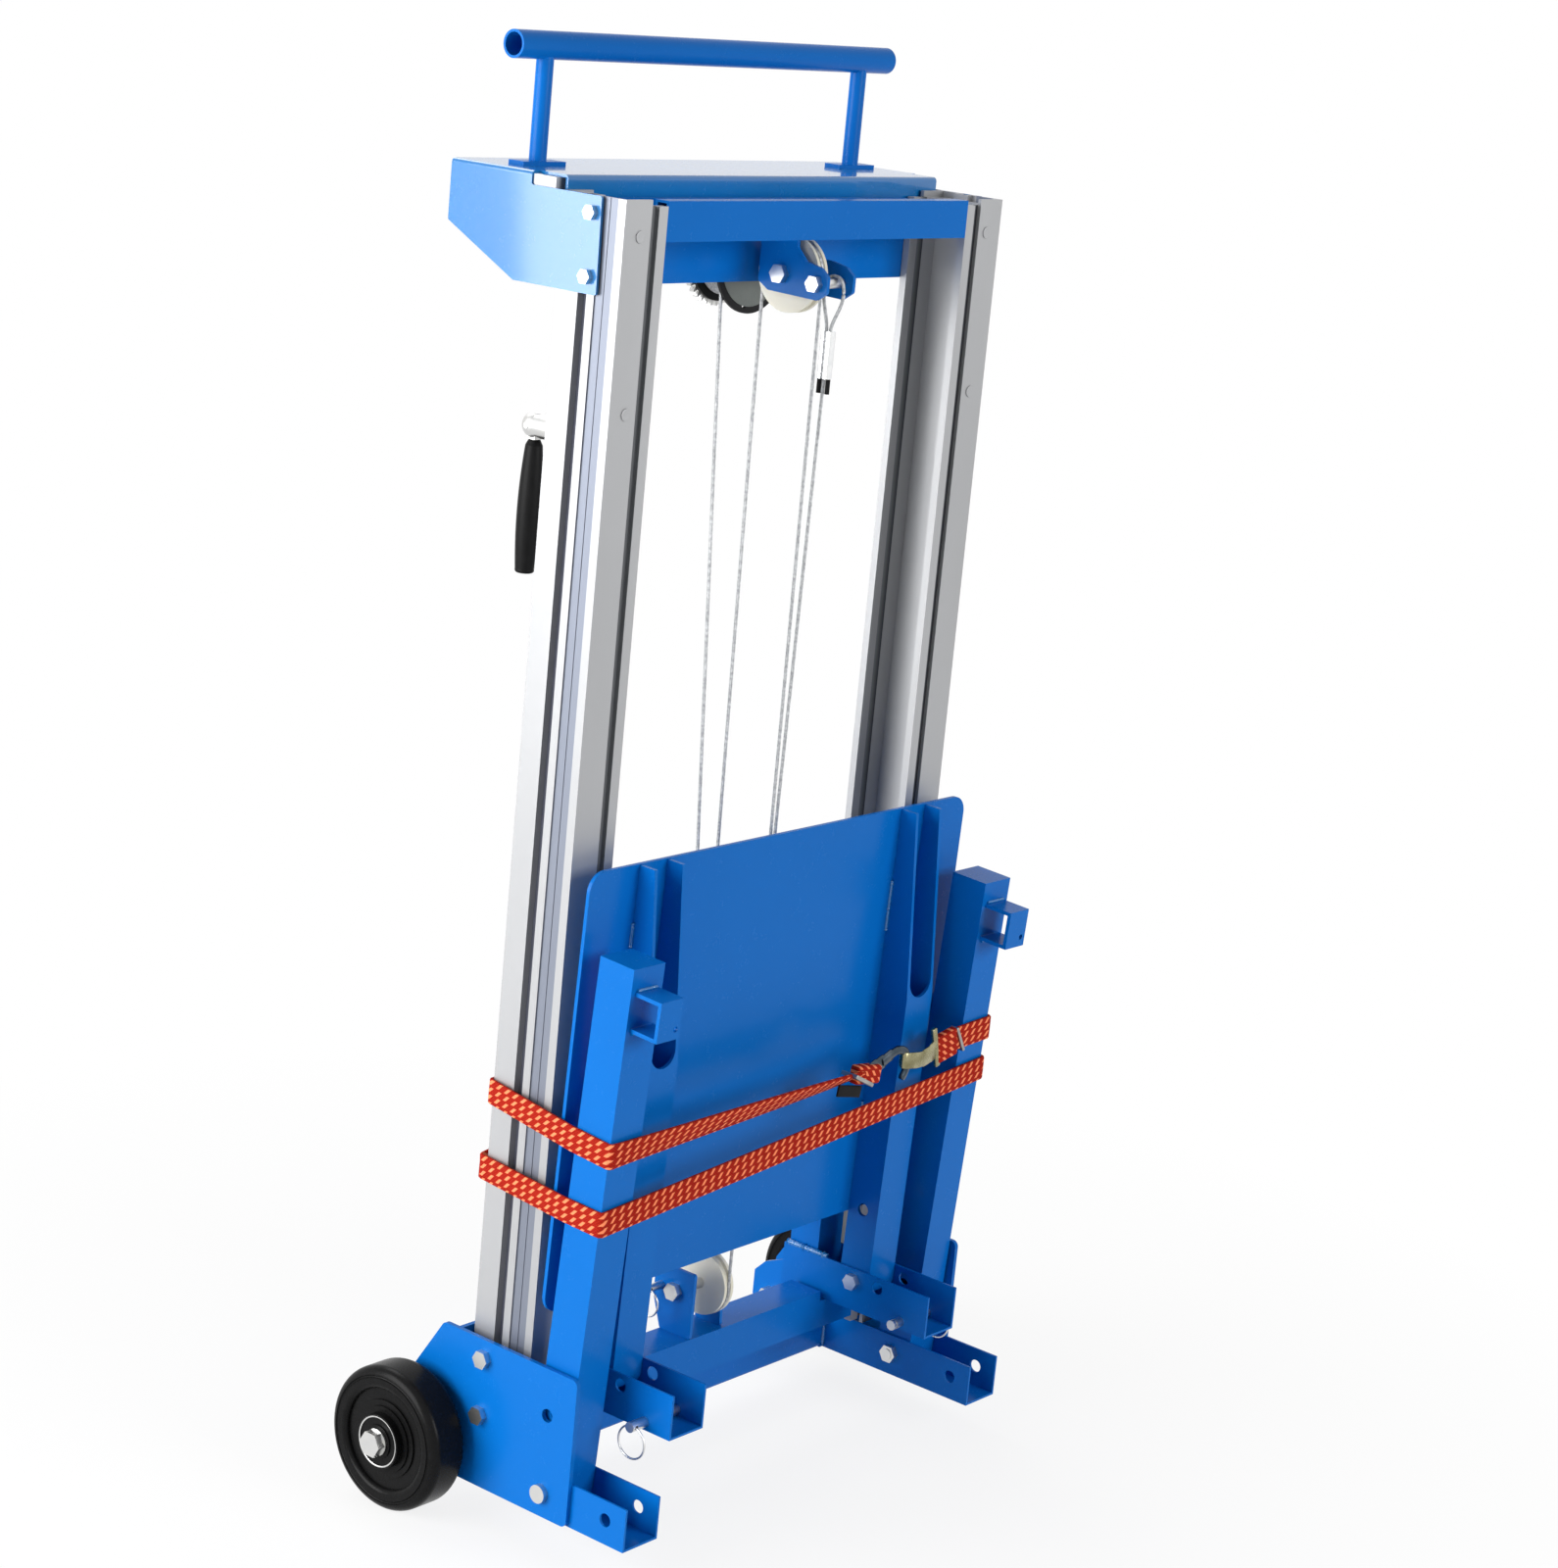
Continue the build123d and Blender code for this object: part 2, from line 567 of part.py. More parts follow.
with BuildPart() as hood_blocks:
    for s in (-1, 1):
        x0, x1 = s * (mast_x - 26), s * (mast_x - 0.5)
        block(min(x0, x1), max(x0, x1), notch_y - 28, notch_y - 4, mast_top - 20, hood_top - hood_t)
save(hood_blocks.part, "hood_blocks")

# Winch plate behind the masts
plate_back = mast_rear + 5.0
with BuildPart() as winch_plate:
    block(-mast_x, mast_x, mast_rear, plate_back, mast_top - 90, flange_low)
    for x in (-150, 150):
        rod_y(mast_rear - 1, plate_back + 1, x, mast_top - 36, 7, Mode.SUBTRACT)
save(winch_plate.part, "winch_plate")

# Push handle: an open tube on two posts with foot tabs
with BuildPart() as push_handle:
    rod_x(-handle_half, handle_half, handle_y, handle_z, handle_d / 2)
    for s in (-1, 1):
        rod_z(hood_top, handle_z, s * post_x, handle_y, post_d / 2)
        block(s * post_x - 29, s * post_x + 29, handle_y - 10, handle_y + 10, hood_top, hood_top + 4)
    rod_x(-handle_half - 1, handle_half + 1, handle_y, handle_z, handle_d / 2 - 2.6, Mode.SUBTRACT)
save(push_handle.part, "push_handle")

# Hand winch: frame, drum with gear, pinion shaft and crank
drum_rear = drum_front + drum_len
gear_y0 = drum_rear + 3.0
gear_w = 6.0
pitch = gear_module * (gear_teeth + pinion_teeth) / 2 + 0.25
mesh = 162.0
pinion_x = drum_x + pitch * cos(radians(mesh))
pinion_z = drum_z + pitch * sin(radians(mesh))
leg_y0 = drum_front - 17.0
leg_y1 = gear_y0 + gear_w + 7.0
bridge_z = drum_z + drum_flange_r + 4.0
rear_r = pitch - gear_module * (pinion_teeth / 2 + 0.8) - 1.5
with BuildPart() as winch_frame:
    for y in (leg_y0, leg_y1):
        block(pinion_x - 22, drum_x + 40, y, y + 4, drum_z - 14, bridge_z + 4)
    block(pinion_x - 22, drum_x + 40, plate_back, leg_y1 + 4, bridge_z, bridge_z + 4)
    for x, z in ((drum_x, drum_z), (pinion_x, pinion_z)):
        rod_y(leg_y0 - 1, leg_y1 + 5, x, z, shaft_d / 2 + fit_run, Mode.SUBTRACT)
save(winch_frame.part, "winch_frame")
with BuildPart() as drum_axle:
    rod_y(leg_y0 - 5, leg_y1 + 9, drum_x, drum_z, shaft_d / 2)
    hex_y(leg_y0 - 7, leg_y0 - 0.01, drum_x, drum_z, 18)
    hex_y(leg_y1 + 4.01, leg_y1 + 11, drum_x, drum_z, 18)
save(drum_axle.part, "drum_axle")
with BuildPart() as drum:
    rod_y(drum_front, drum_front + 3, drum_x, drum_z, drum_flange_r)
    rod_y(drum_front, gear_y0, drum_x, drum_z, drum_core_r)
    rod_y(drum_rear, gear_y0 - 0.01, drum_x, drum_z, rear_r)
    for k in range(3):
        turn = radians(120 * k + 20)
        rod_y(drum_front - 1, drum_front + 4, drum_x + 46 * cos(turn), drum_z + 46 * sin(turn), 3, Mode.SUBTRACT)
    rod_y(drum_front - 1, gear_y0 + 1, drum_x, drum_z, shaft_d / 2 + fit_run, Mode.SUBTRACT)
save(drum.part, "winch_drum")


def toothed(teeth, turn, x, z):
    """Outline of a toothed wheel about (x, z): straight-sided teeth on the pitch circle."""
    r = gear_module * teeth / 2
    step = 2 * pi / teeth
    outline = []
    for k in range(teeth):
        for height, share in ((-1.15, -0.30), (0.8, -0.12), (0.8, 0.12), (-1.15, 0.30)):
            angle = turn + (k + share) * step
            reach = r + height * gear_module
            outline.append((x + reach * cos(angle), z + reach * sin(angle)))
    return outline


mesh_angle = radians(mesh)
with BuildPart() as gear:
    with BuildSketch(Plane.XZ.offset(-gear_y0 - gear_w)) as face:
        with BuildLine():
            Polyline(*toothed(gear_teeth, mesh_angle, drum_x, drum_z), close=True)
        make_face()
    extrude(amount=gear_w)
    rod_y(gear_y0 - 1, gear_y0 + gear_w + 1, drum_x, drum_z, shaft_d / 2 + fit_run, Mode.SUBTRACT)
save(gear.part, "drum_gear")
half_tooth = pi / pinion_teeth
with BuildPart() as pinion:
    with BuildSketch(Plane.XZ.offset(-gear_y0 - gear_w - 1)) as face:
        with BuildLine():
            Polyline(*toothed(pinion_teeth, mesh_angle + pi + half_tooth, pinion_x, pinion_z), close=True)
        make_face()
    extrude(amount=gear_w + 2)
    rod_y(leg_y0 - 6, hood_rear + 24, pinion_x, pinion_z, shaft_d / 2)
save(pinion.part, "pinion_shaft")

tip_x = pinion_x - crank_len * sin(radians(crank_turn))
tip_z = pinion_z - crank_len * cos(radians(crank_turn))
lug_in = 6.4
with BuildPart() as crank:
    with BuildSketch(Plane.XZ.offset(-crank_y - 6)) as face:
        with Locations(Location(((pinion_x + tip_x) / 2, (pinion_z + tip_z) / 2), 90 - crank_turn)):
            SlotCenterToCenter(crank_len, 24)
    extrude(amount=6)
    rod_y(crank_y - 6, hood_rear + 24, pinion_x, pinion_z, 14)
    rod_y(crank_y - 7, hood_rear + 25, pinion_x, pinion_z, shaft_d / 2, Mode.SUBTRACT)
    hex_y(hood_rear + 24, hood_rear + 30, pinion_x, pinion_z, 18)
    rod_y(crank_y + 5.9, knuckle_y, tip_x, tip_z, ball_r - 1)
    with Locations((tip_x, knuckle_y, tip_z)):
        Sphere(ball_r)
    low, high = tip_z - ball_r - 1, tip_z + ball_r + 1
    block(tip_x - lug_in, tip_x + lug_in, knuckle_y - 12, knuckle_y + ball_r + 1, low, high, Mode.SUBTRACT)
    rod_x(tip_x - ball_r - 1, tip_x + ball_r + 1, knuckle_y, tip_z, 3 + fit_run, Mode.SUBTRACT)
save(crank.part, "crank_arm")
with BuildPart() as grip_pin:
    rod_x(tip_x - ball_r - 0.6, tip_x + ball_r + 0.6, knuckle_y, tip_z, 3)
save(grip_pin.part, "grip_pin")
with BuildPart() as knuckle:
    rod_x(tip_x - lug_in + gap, tip_x + lug_in - gap, knuckle_y, tip_z, 11.5)
    block(tip_x - lug_in + gap, tip_x + lug_in - gap, knuckle_y - 6, knuckle_y + 6, tip_z - 14.6, tip_z)
    rod_z(tip_z - 14, tip_z - 15 - grip_len + 20.5, tip_x, knuckle_y, 4)
    rod_x(tip_x - 12, tip_x + 12, knuckle_y, tip_z, 3 + fit_run, Mode.SUBTRACT)
save(knuckle.part, "grip_knuckle")
with BuildPart() as grip:
    with BuildSketch(Plane.XZ.offset(-knuckle_y)) as face:
        with BuildLine():
            low = tip_z - 15 - grip_len
            Polyline((tip_x, low), (tip_x + grip_r - 3, low))
            ThreePointArc((tip_x + grip_r - 3, low), (tip_x + grip_r - 1, low + 1.2), (tip_x + grip_r - 0.5, low + 4))
            ThreePointArc(
                (tip_x + grip_r - 0.5, low + 4),
                (tip_x + grip_swell, low + 0.45 * grip_len),
                (tip_x + grip_r - 1.5, low + grip_len - 6),
            )
            Polyline(
                (tip_x + grip_r - 1.5, low + grip_len - 6),
                (tip_x + 6, low + grip_len),
                (tip_x, low + grip_len),
                (tip_x, low),
            )
        make_face()
    revolve(axis=Axis((tip_x, knuckle_y, 0), (0, 0, 1)))
    rod_z(low + 20, low + grip_len + 1, tip_x, knuckle_y, 4 + fit_run, Mode.SUBTRACT)
save(grip.part, "crank_grip")


# Wire rope on the drum: one layer of turns, each half turn a pair of tangent arcs
def biarc(p0, t0, p1, t1):
    """Point where two tangent arcs join, between two points with given unit directions."""
    v = p1 - p0
    t = t0 + t1
    a = 2 * (1 - t0.dot(t1))
    b = v.dot(t)
    d = (-b + sqrt(b * b + a * v.dot(v))) / a if a > 1e-9 else v.dot(v) / (2 * b)
    return (p0 + p1 + (t0 - t1) * d) * 0.5


wind_r = drum_core_r + rope_r + 0.05
wind_pitch = rope_d + 0.6
wind_y = drum_front + 8.0
steps = 2 * wind_turns


def wind_at(k):
    """Point and direction of the winding after k half turns, from the leaving end."""
    turn = pi - pi * k
    point = Vector(drum_x + wind_r * cos(turn), wind_y + wind_pitch * k / 2, drum_z + wind_r * sin(turn))
    heading = Vector(wind_r * sin(turn), wind_pitch / (2 * pi), -wind_r * cos(turn))
    return point, heading.normalized()


with BuildPart() as winding:
    with BuildLine() as path:
        point, heading = wind_at(0)
        Line(point - heading * rope_d, point)
        for k in range(steps):
            p0, t0 = wind_at(k)
            p1, t1 = wind_at(k + 1)
            pm = biarc(p0, t0, p1, t1)
            first = TangentArc(p0, pm, tangent=t0)
            TangentArc(pm, p1, tangent=first % 1)
        Line(p1, p1 + t1 * rope_d)
    wire = path.wire()
    with BuildSketch(Plane(wire @ 0, z_dir=wire % 0)):
        Circle(rope_r)
    sweep(path=wire)
save(winding.part, "rope_winding")
samples = [wire @ (i / 1600) for i in range(1601)]
turn_share = 1600 / (wind_turns + 0.1)
least = 1e9
for i in range(0, 1601, 4):
    for j in range(i + int(turn_share * 0.6), 1601, 4):
        least = min(least, (samples[i] - samples[j]).length)
print("winding: least gap to itself %.2f mm" % (least - rope_d))

# Wire rope runs: haul (drum to lower sheave), mast run (lower to top sheave), fall (top, carriage, eye)
leave = wind_at(0)[0] - wind_at(0)[1] * (rope_d + 0.3)
haul_end = Vector(low_x, low_y + low_r, low_z)
mast_up = Vector(low_x, low_y - low_r, low_z)
top_front = Vector(top_x, top_y - top_r, top_z)
top_back = Vector(top_x, top_y + top_r, top_z)
car_back = Vector(car_x, car_y + car_r, car_z)
car_front = Vector(car_x, car_y - car_r, car_z)
eye_x = 11.0
ferrule_z = eye_z - 94.0
ferrule_h = 47.0
share = (ferrule_z - car_z) / (eye_z - car_z)
ferrule_y = car_front.Y + (eye_y - car_front.Y) * share
ferrule_low = Vector(eye_x, ferrule_y, ferrule_z)


def rope(name, *edges):
    """Sweep the round rope along lines and arcs laid end to end."""
    with BuildPart() as run:
        with BuildLine() as path:
            for edge in edges:
                add(edge)
        wire = path.wire()
        with BuildSketch(Plane(wire @ 0, z_dir=wire % 0)):
            Circle(rope_r)
        sweep(path=wire, transition=Transition.ROUND)
    save(run.part, name)


bow = 300.0
haul_low = haul_end + Vector(0, 0, gap)
rope("rope_haul", FilletPolyline(leave, haul_low + Vector(0, 0, 30), haul_low, radius=bow, mode=Mode.PRIVATE))
rope(
    "rope_mast_run",
    ThreePointArc(haul_end, (low_x, low_y, low_z - low_r), mast_up, mode=Mode.PRIVATE),
    FilletPolyline(
        mast_up, mast_up + Vector(0, 0, 30), top_front - Vector(0, 0, 30), top_front, radius=bow, mode=Mode.PRIVATE
    ),
    ThreePointArc(top_front, (top_x, top_y, top_z + top_r), top_back, mode=Mode.PRIVATE),
)
rope(
    "rope_fall",
    FilletPolyline(
        top_back, top_back - Vector(0, 0, 30), car_back + Vector(0, 0, 30), car_back, radius=bow, mode=Mode.PRIVATE
    ),
    ThreePointArc(car_back, (car_x, car_y, car_z - car_r), car_front, mode=Mode.PRIVATE),
    FilletPolyline(
        car_front, car_front + Vector(0, 0, 30), ferrule_low - Vector(0, 0, 20), ferrule_low, radius=bow, mode=Mode.PRIVATE
    ),
)
eye_r = anchor_d / 2 + rope_r + gap
eye_low = ferrule_z + ferrule_h
with BuildPart() as rope_eye:
    with BuildLine() as path:
        FilletPolyline(
            (eye_x, ferrule_y + 2.4, eye_low),
            (eye_x, ferrule_y + 2.4, eye_low + 5),
            (eye_x, eye_y + 12, eye_z - 12),
            (eye_x, eye_y + 9, eye_z + eye_r),
            (eye_x, eye_y - 9, eye_z + eye_r),
            (eye_x, eye_y - 12, eye_z - 12),
            (eye_x, ferrule_y - 2.4, eye_low + 5),
            (eye_x, ferrule_y - 2.4, eye_low),
            radius=6,
        )
    wire = path.wire()
    with BuildSketch(Plane(wire @ 0, z_dir=wire % 0)):
        Circle(rope_r)
    sweep(path=wire)
save(rope_eye.part, "rope_eye")
with BuildPart() as ferrule:
    with BuildSketch(Plane.XY.offset(ferrule_z)):
        with Locations((eye_x, ferrule_y)):
            RectangleRounded(9, 16, 4)
    extrude(amount=ferrule_h)
save(ferrule.part, "rope_ferrule")
with BuildPart() as sleeves:
    for e in (-1, 1):
        rod_z(ferrule_z - 15, ferrule_z, eye_x, ferrule_y + e * 5.4, 2.4)
save(sleeves.part, "rope_tail_sleeves")

# Lock pins with pull rings: one in each carriage channel and a keeper in the lower sheave bracket
def ring(x, y, z, r, wire_r, name):
    """A pull ring that hangs in the YZ plane."""
    with BuildPart() as loop:
        with Locations(Location((x, y, z - r), (0, 90, 0))):
            Torus(r, wire_r)
    save(loop.part, name)


pins = (
    ("left", -arm_x - channel_half - pin_out, -arm_x + channel_half + 16, pin_y, pin_z, pin_d, 17.0),
    ("right", arm_x + channel_half + pin_out, arm_x - channel_half - 16, pin_y, pin_z, pin_d, 17.0),
    ("keeper", low_x - low_out - 26, low_x - low_in + 8, keeper_y, keeper_z, keeper_d, 15.0),
)
for name, x_out, x_in, y, z, d, ring_r in pins:
    inwards = 1 if x_in > x_out else -1
    with BuildPart() as pin:
        rod_x(x_out, x_in, y, z, d / 2)
        rod_x(x_in - inwards * 6, x_in - inwards * 4, y, z, d, Mode.SUBTRACT)
        rod_x(x_in - inwards * 7, x_in - inwards * 3, y, z, d / 2 - 1.5)
        rod_y(y - 12, y + 12, x_out + inwards * 5, z, 2.1, Mode.SUBTRACT)
    save(pin.part, "lock_pin_" + name)
    ring(x_out + inwards * 5, y, z, ring_r, 1.1, "pull_ring_" + name)

# Strap: one flat band laid twice round legs and masts, its ends joined by two hooks in front
strap_off = strap_t / 2 + gap


def leg_front(z):
    """Front face of the leaning legs at a height."""
    return leg_y - (z - leg_z) * tan(radians(leg_lean)) - leg_w / 2 / cos(radians(leg_lean))


def strap_corner(s, where, z, layer=0):
    """A turning point of the strap in plan, with its height."""
    side_x = foot_x + leg_w / 2 + strap_off
    if where == "leg":
        return (s * side_x, leg_front(z + strap_w / 2) - strap_off - 1.0, z)
    if where == "leg_back":
        return (s * side_x, leg_front(z + strap_w / 2) + leg_w + 2.0, z)
    return (s * (mast_x + strap_off + 1.0), mast_rear + strap_off + layer * (strap_t + 0.3), z)


hook_x = 102.0
hook_end_x = 204.0
z_hook = 426.0
z_right = 437.0
route = [
    (hook_x, leg_front(z_hook) - strap_off - 1.0, z_hook),
    strap_corner(-1, "leg", 420),
    strap_corner(-1, "leg_back", 424),
    strap_corner(-1, "mast", 436),
    strap_corner(1, "mast", 403),
    strap_corner(1, "leg_back", 396),
    strap_corner(1, "leg", 393),
    strap_corner(-1, "leg", 349),
    strap_corner(-1, "leg_back", 351),
    strap_corner(-1, "mast", 356, 1),
    strap_corner(1, "mast", 443, 1),
    strap_corner(1, "leg_back", 442),
    strap_corner(1, "leg", 440),
    (hook_end_x, leg_front(z_right) - strap_off - 1.0, z_right),
]
bend_r = 2.5
with BuildPart() as strap:
    ends = []
    for i, (p, q) in enumerate(zip(route[:-1], route[1:])):
        run = hypot(q[0] - p[0], q[1] - p[1])
        ux, uy = (q[0] - p[0]) / run, (q[1] - p[1]) / run
        trims = []
        for j in (i, i + 1):
            if 0 < j < len(route) - 1:
                b, c, d = route[j - 1], route[j], route[j + 1]
                turn = atan2(d[1] - c[1], d[0] - c[0]) - atan2(c[1] - b[1], c[0] - b[0])
                turn = (turn + pi) % (2 * pi) - pi
                trims.append(bend_r * abs(tan(turn / 2)))
            else:
                trims.append(0.0)
        z0 = p[2] + (q[2] - p[2]) * trims[0] / run
        z1 = q[2] - (q[2] - p[2]) * trims[1] / run
        flat = Plane(origin=(p[0] - uy * strap_t / 2, p[1] + ux * strap_t / 2, 0), x_dir=(ux, uy, 0), z_dir=(uy, -ux, 0))
        h = strap_w / 2
        with BuildSketch(flat) as face:
            with BuildLine():
                Polyline(
                    (trims[0] - 0.02, z0 - h), (run - trims[1] + 0.02, z1 - h),
                    (run - trims[1] + 0.02, z1 + h), (trims[0] - 0.02, z0 + h), close=True,
                )
            make_face()
        extrude(amount=strap_t)
        ends.append((ux, uy, trims, z0, z1))
    for j in range(1, len(route) - 1):
        ux, uy, trims, _, z_end = ends[j - 1]
        vx, vy, trims2, z_start, _ = ends[j]
        c = route[j]
        side = 1 if ux * vy - uy * vx > 0 else -1
        start_x, start_y = c[0] - ux * trims[1], c[1] - uy * trims[1]
        centre = (start_x - uy * side * bend_r, start_y + ux * side * bend_r)
        a0 = degrees(atan2(start_y - centre[1], start_x - centre[0]))
        turn = degrees(2 * abs(atan2(trims[1], bend_r)))
        z_mid = (z_end + z_start) / 2
        a1 = a0 if side > 0 else a0 - turn
        r_in, r_out = bend_r - strap_t / 2, bend_r + strap_t / 2
        far = radians(a1 + turn)
        near = radians(a1)
        with BuildSketch(Plane.XY.offset(z_mid - strap_w / 2)):
            with BuildLine():
                CenterArc(centre, r_out, a1, turn)
                CenterArc(centre, r_in, a1, turn)
                for at in (near, far):
                    Line(
                        (centre[0] + r_in * cos(at), centre[1] + r_in * sin(at)),
                        (centre[0] + r_out * cos(at), centre[1] + r_out * sin(at)),
                    )
            make_face()
        extrude(amount=strap_w)
save(strap.part, "strap")

# Hooks: a clamp round each strap end and a bent flat hook, one caught in the other
hook_y = leg_front(z_right) - strap_off - 1.0
slot_y = strap_t / 2 + 1.2
with BuildPart() as hook_left:
    for x in (hook_x - 22, hook_x - 4):
        block(x, x + 4, hook_y - 3.6, hook_y + 3.6, z_hook - 17, z_hook + 17)
        block(x, x + 4, hook_y - slot_y, hook_y + slot_y, z_hook - 14.8, z_hook + 14.8, Mode.SUBTRACT)
    with BuildSketch(Plane.XZ.offset(-hook_y + 1.4)) as face:
        with BuildLine():
            Polyline((hook_x, z_hook - 9), (hook_x + 34, z_hook - 2), (hook_x + 52, z_hook - 12), (hook_x + 56, z_hook - 4),
                     (hook_x + 40, z_hook + 9), (hook_x, z_hook + 9), close=True)
        make_face()
        fillet(face.vertices(), 2)
    extrude(amount=2.2)
    block(hook_x - 22, hook_x + 2, hook_y - 3.6, hook_y - 1.4, z_hook - 9, z_hook + 9)
save(hook_left.part, "strap_hook_left")
with BuildPart() as hook_right:
    block(hook_end_x - 3, hook_end_x + 3, hook_y - 4.6, hook_y + 3.6, z_right - 20, z_right + 20)
    block(hook_end_x + 18, hook_end_x + 22, hook_y - 4.6, hook_y + 3.6, z_right - 17, z_right + 17)
    block(hook_end_x - 4, hook_end_x + 23, hook_y - slot_y, hook_y + slot_y, z_right - 14.8, z_right + 14.8, Mode.SUBTRACT)
    with BuildSketch(Plane.XZ.offset(-hook_y + 4.4)) as face:
        with BuildLine():
            Polyline((hook_end_x + 2, z_right - 8), (hook_end_x - 30, z_right - 17), (hook_end_x - 46, z_right - 12),
                     (hook_end_x - 44, z_right - 4), (hook_end_x - 30, z_right - 2), (hook_end_x + 2, z_right + 8), close=True)
        make_face()
        fillet(face.vertices(), 2)
    extrude(amount=2.2)
    block(hook_end_x - 3, hook_end_x + 22, hook_y - 6.6, hook_y - 3.0, z_right - 8, z_right + 8)
save(hook_right.part, "strap_hook_right")
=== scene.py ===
# %% [markdown]
# A winch platform lift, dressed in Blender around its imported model.
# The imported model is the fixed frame: every node keeps its place, and what is
# made here is looks, which are the finishes, the wire rope, the strap and the welds.

# %% Load the frame
import json
import math

import bpy
from mathutils import Matrix, Vector


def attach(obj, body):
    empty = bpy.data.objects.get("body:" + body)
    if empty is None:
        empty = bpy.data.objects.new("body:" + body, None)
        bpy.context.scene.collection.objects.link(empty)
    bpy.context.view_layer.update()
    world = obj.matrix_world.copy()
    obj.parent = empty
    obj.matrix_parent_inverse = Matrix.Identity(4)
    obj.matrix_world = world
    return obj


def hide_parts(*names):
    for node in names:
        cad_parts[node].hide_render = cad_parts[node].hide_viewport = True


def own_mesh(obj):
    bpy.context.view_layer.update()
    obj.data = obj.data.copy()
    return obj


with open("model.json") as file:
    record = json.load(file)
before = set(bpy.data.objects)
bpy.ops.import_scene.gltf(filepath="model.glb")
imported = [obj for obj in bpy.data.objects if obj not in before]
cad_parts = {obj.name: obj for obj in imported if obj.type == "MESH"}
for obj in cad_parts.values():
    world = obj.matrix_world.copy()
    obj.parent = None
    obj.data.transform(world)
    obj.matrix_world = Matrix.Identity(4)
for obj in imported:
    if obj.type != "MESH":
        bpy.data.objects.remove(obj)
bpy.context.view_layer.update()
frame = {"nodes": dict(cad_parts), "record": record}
nodes = frame["nodes"]

# %% [markdown]
# The photograph was taken from the front left, from a little above the handle.
# The lift leans on its wheels there, which shows as a small roll of the camera,
# because here the lift stands upright.

# %% Camera
IMAGE_W, FOCAL_PX = 1590, 3612.1
SENSOR_MM = 36.0
CAMERA_AT = (-2.7117, -2.25105, 1.5983)
YAW, PITCH, ROLL = math.radians(51.24), math.radians(-13.86), math.radians(5.54)
forward = Vector((
    math.sin(YAW) * math.cos(PITCH),
    math.cos(YAW) * math.cos(PITCH),
    math.sin(PITCH),
))
level = Vector((math.cos(YAW), -math.sin(YAW), 0))
upward = level.cross(forward)
cam_x = math.cos(ROLL) * level + math.sin(ROLL) * upward
cam_y = -math.sin(ROLL) * level + math.cos(ROLL) * upward
cam_data = bpy.data.cameras.new("photo_camera")
cam_data.sensor_fit = "HORIZONTAL"
cam_data.sensor_width = SENSOR_MM
cam_data.lens = SENSOR_MM * FOCAL_PX / IMAGE_W
camera = bpy.data.objects.new("photo_camera", cam_data)
bpy.context.scene.collection.objects.link(camera)
turn = Matrix((cam_x, cam_y, -forward)).transposed().to_4x4()
camera.matrix_world = Matrix.Translation(CAMERA_AT) @ turn
bpy.context.scene.camera = camera
bpy.context.scene.view_settings.view_transform = "Standard"
print("lens", round(cam_data.lens, 2))

# %% [markdown]
# Finishes are written as sums. A small class wraps a shader socket, so that
# an expression on it adds the Math nodes, and one method adds any other node.

# %% Shader sums
class Wire:
    """A shader value that can be added, scaled and compared like a number."""

    def __init__(self, finish, socket):
        self.finish = finish
        self.socket = socket

    def sum(self, operation, first, second):
        settings = {"operation": operation}
        return self.finish.node("ShaderNodeMath", settings, {0: first, 1: second})

    def __add__(self, other):
        return self.sum("ADD", self, other)

    def __radd__(self, other):
        return self.sum("ADD", other, self)

    def __sub__(self, other):
        return self.sum("SUBTRACT", self, other)

    def __rsub__(self, other):
        return self.sum("SUBTRACT", other, self)

    def __mul__(self, other):
        return self.sum("MULTIPLY", self, other)

    def __rmul__(self, other):
        return self.sum("MULTIPLY", other, self)

    def __mod__(self, other):
        return self.sum("FLOORED_MODULO", self, other)

    def __lt__(self, other):
        return self.sum("LESS_THAN", self, other)

    def __gt__(self, other):
        return self.sum("GREATER_THAN", self, other)


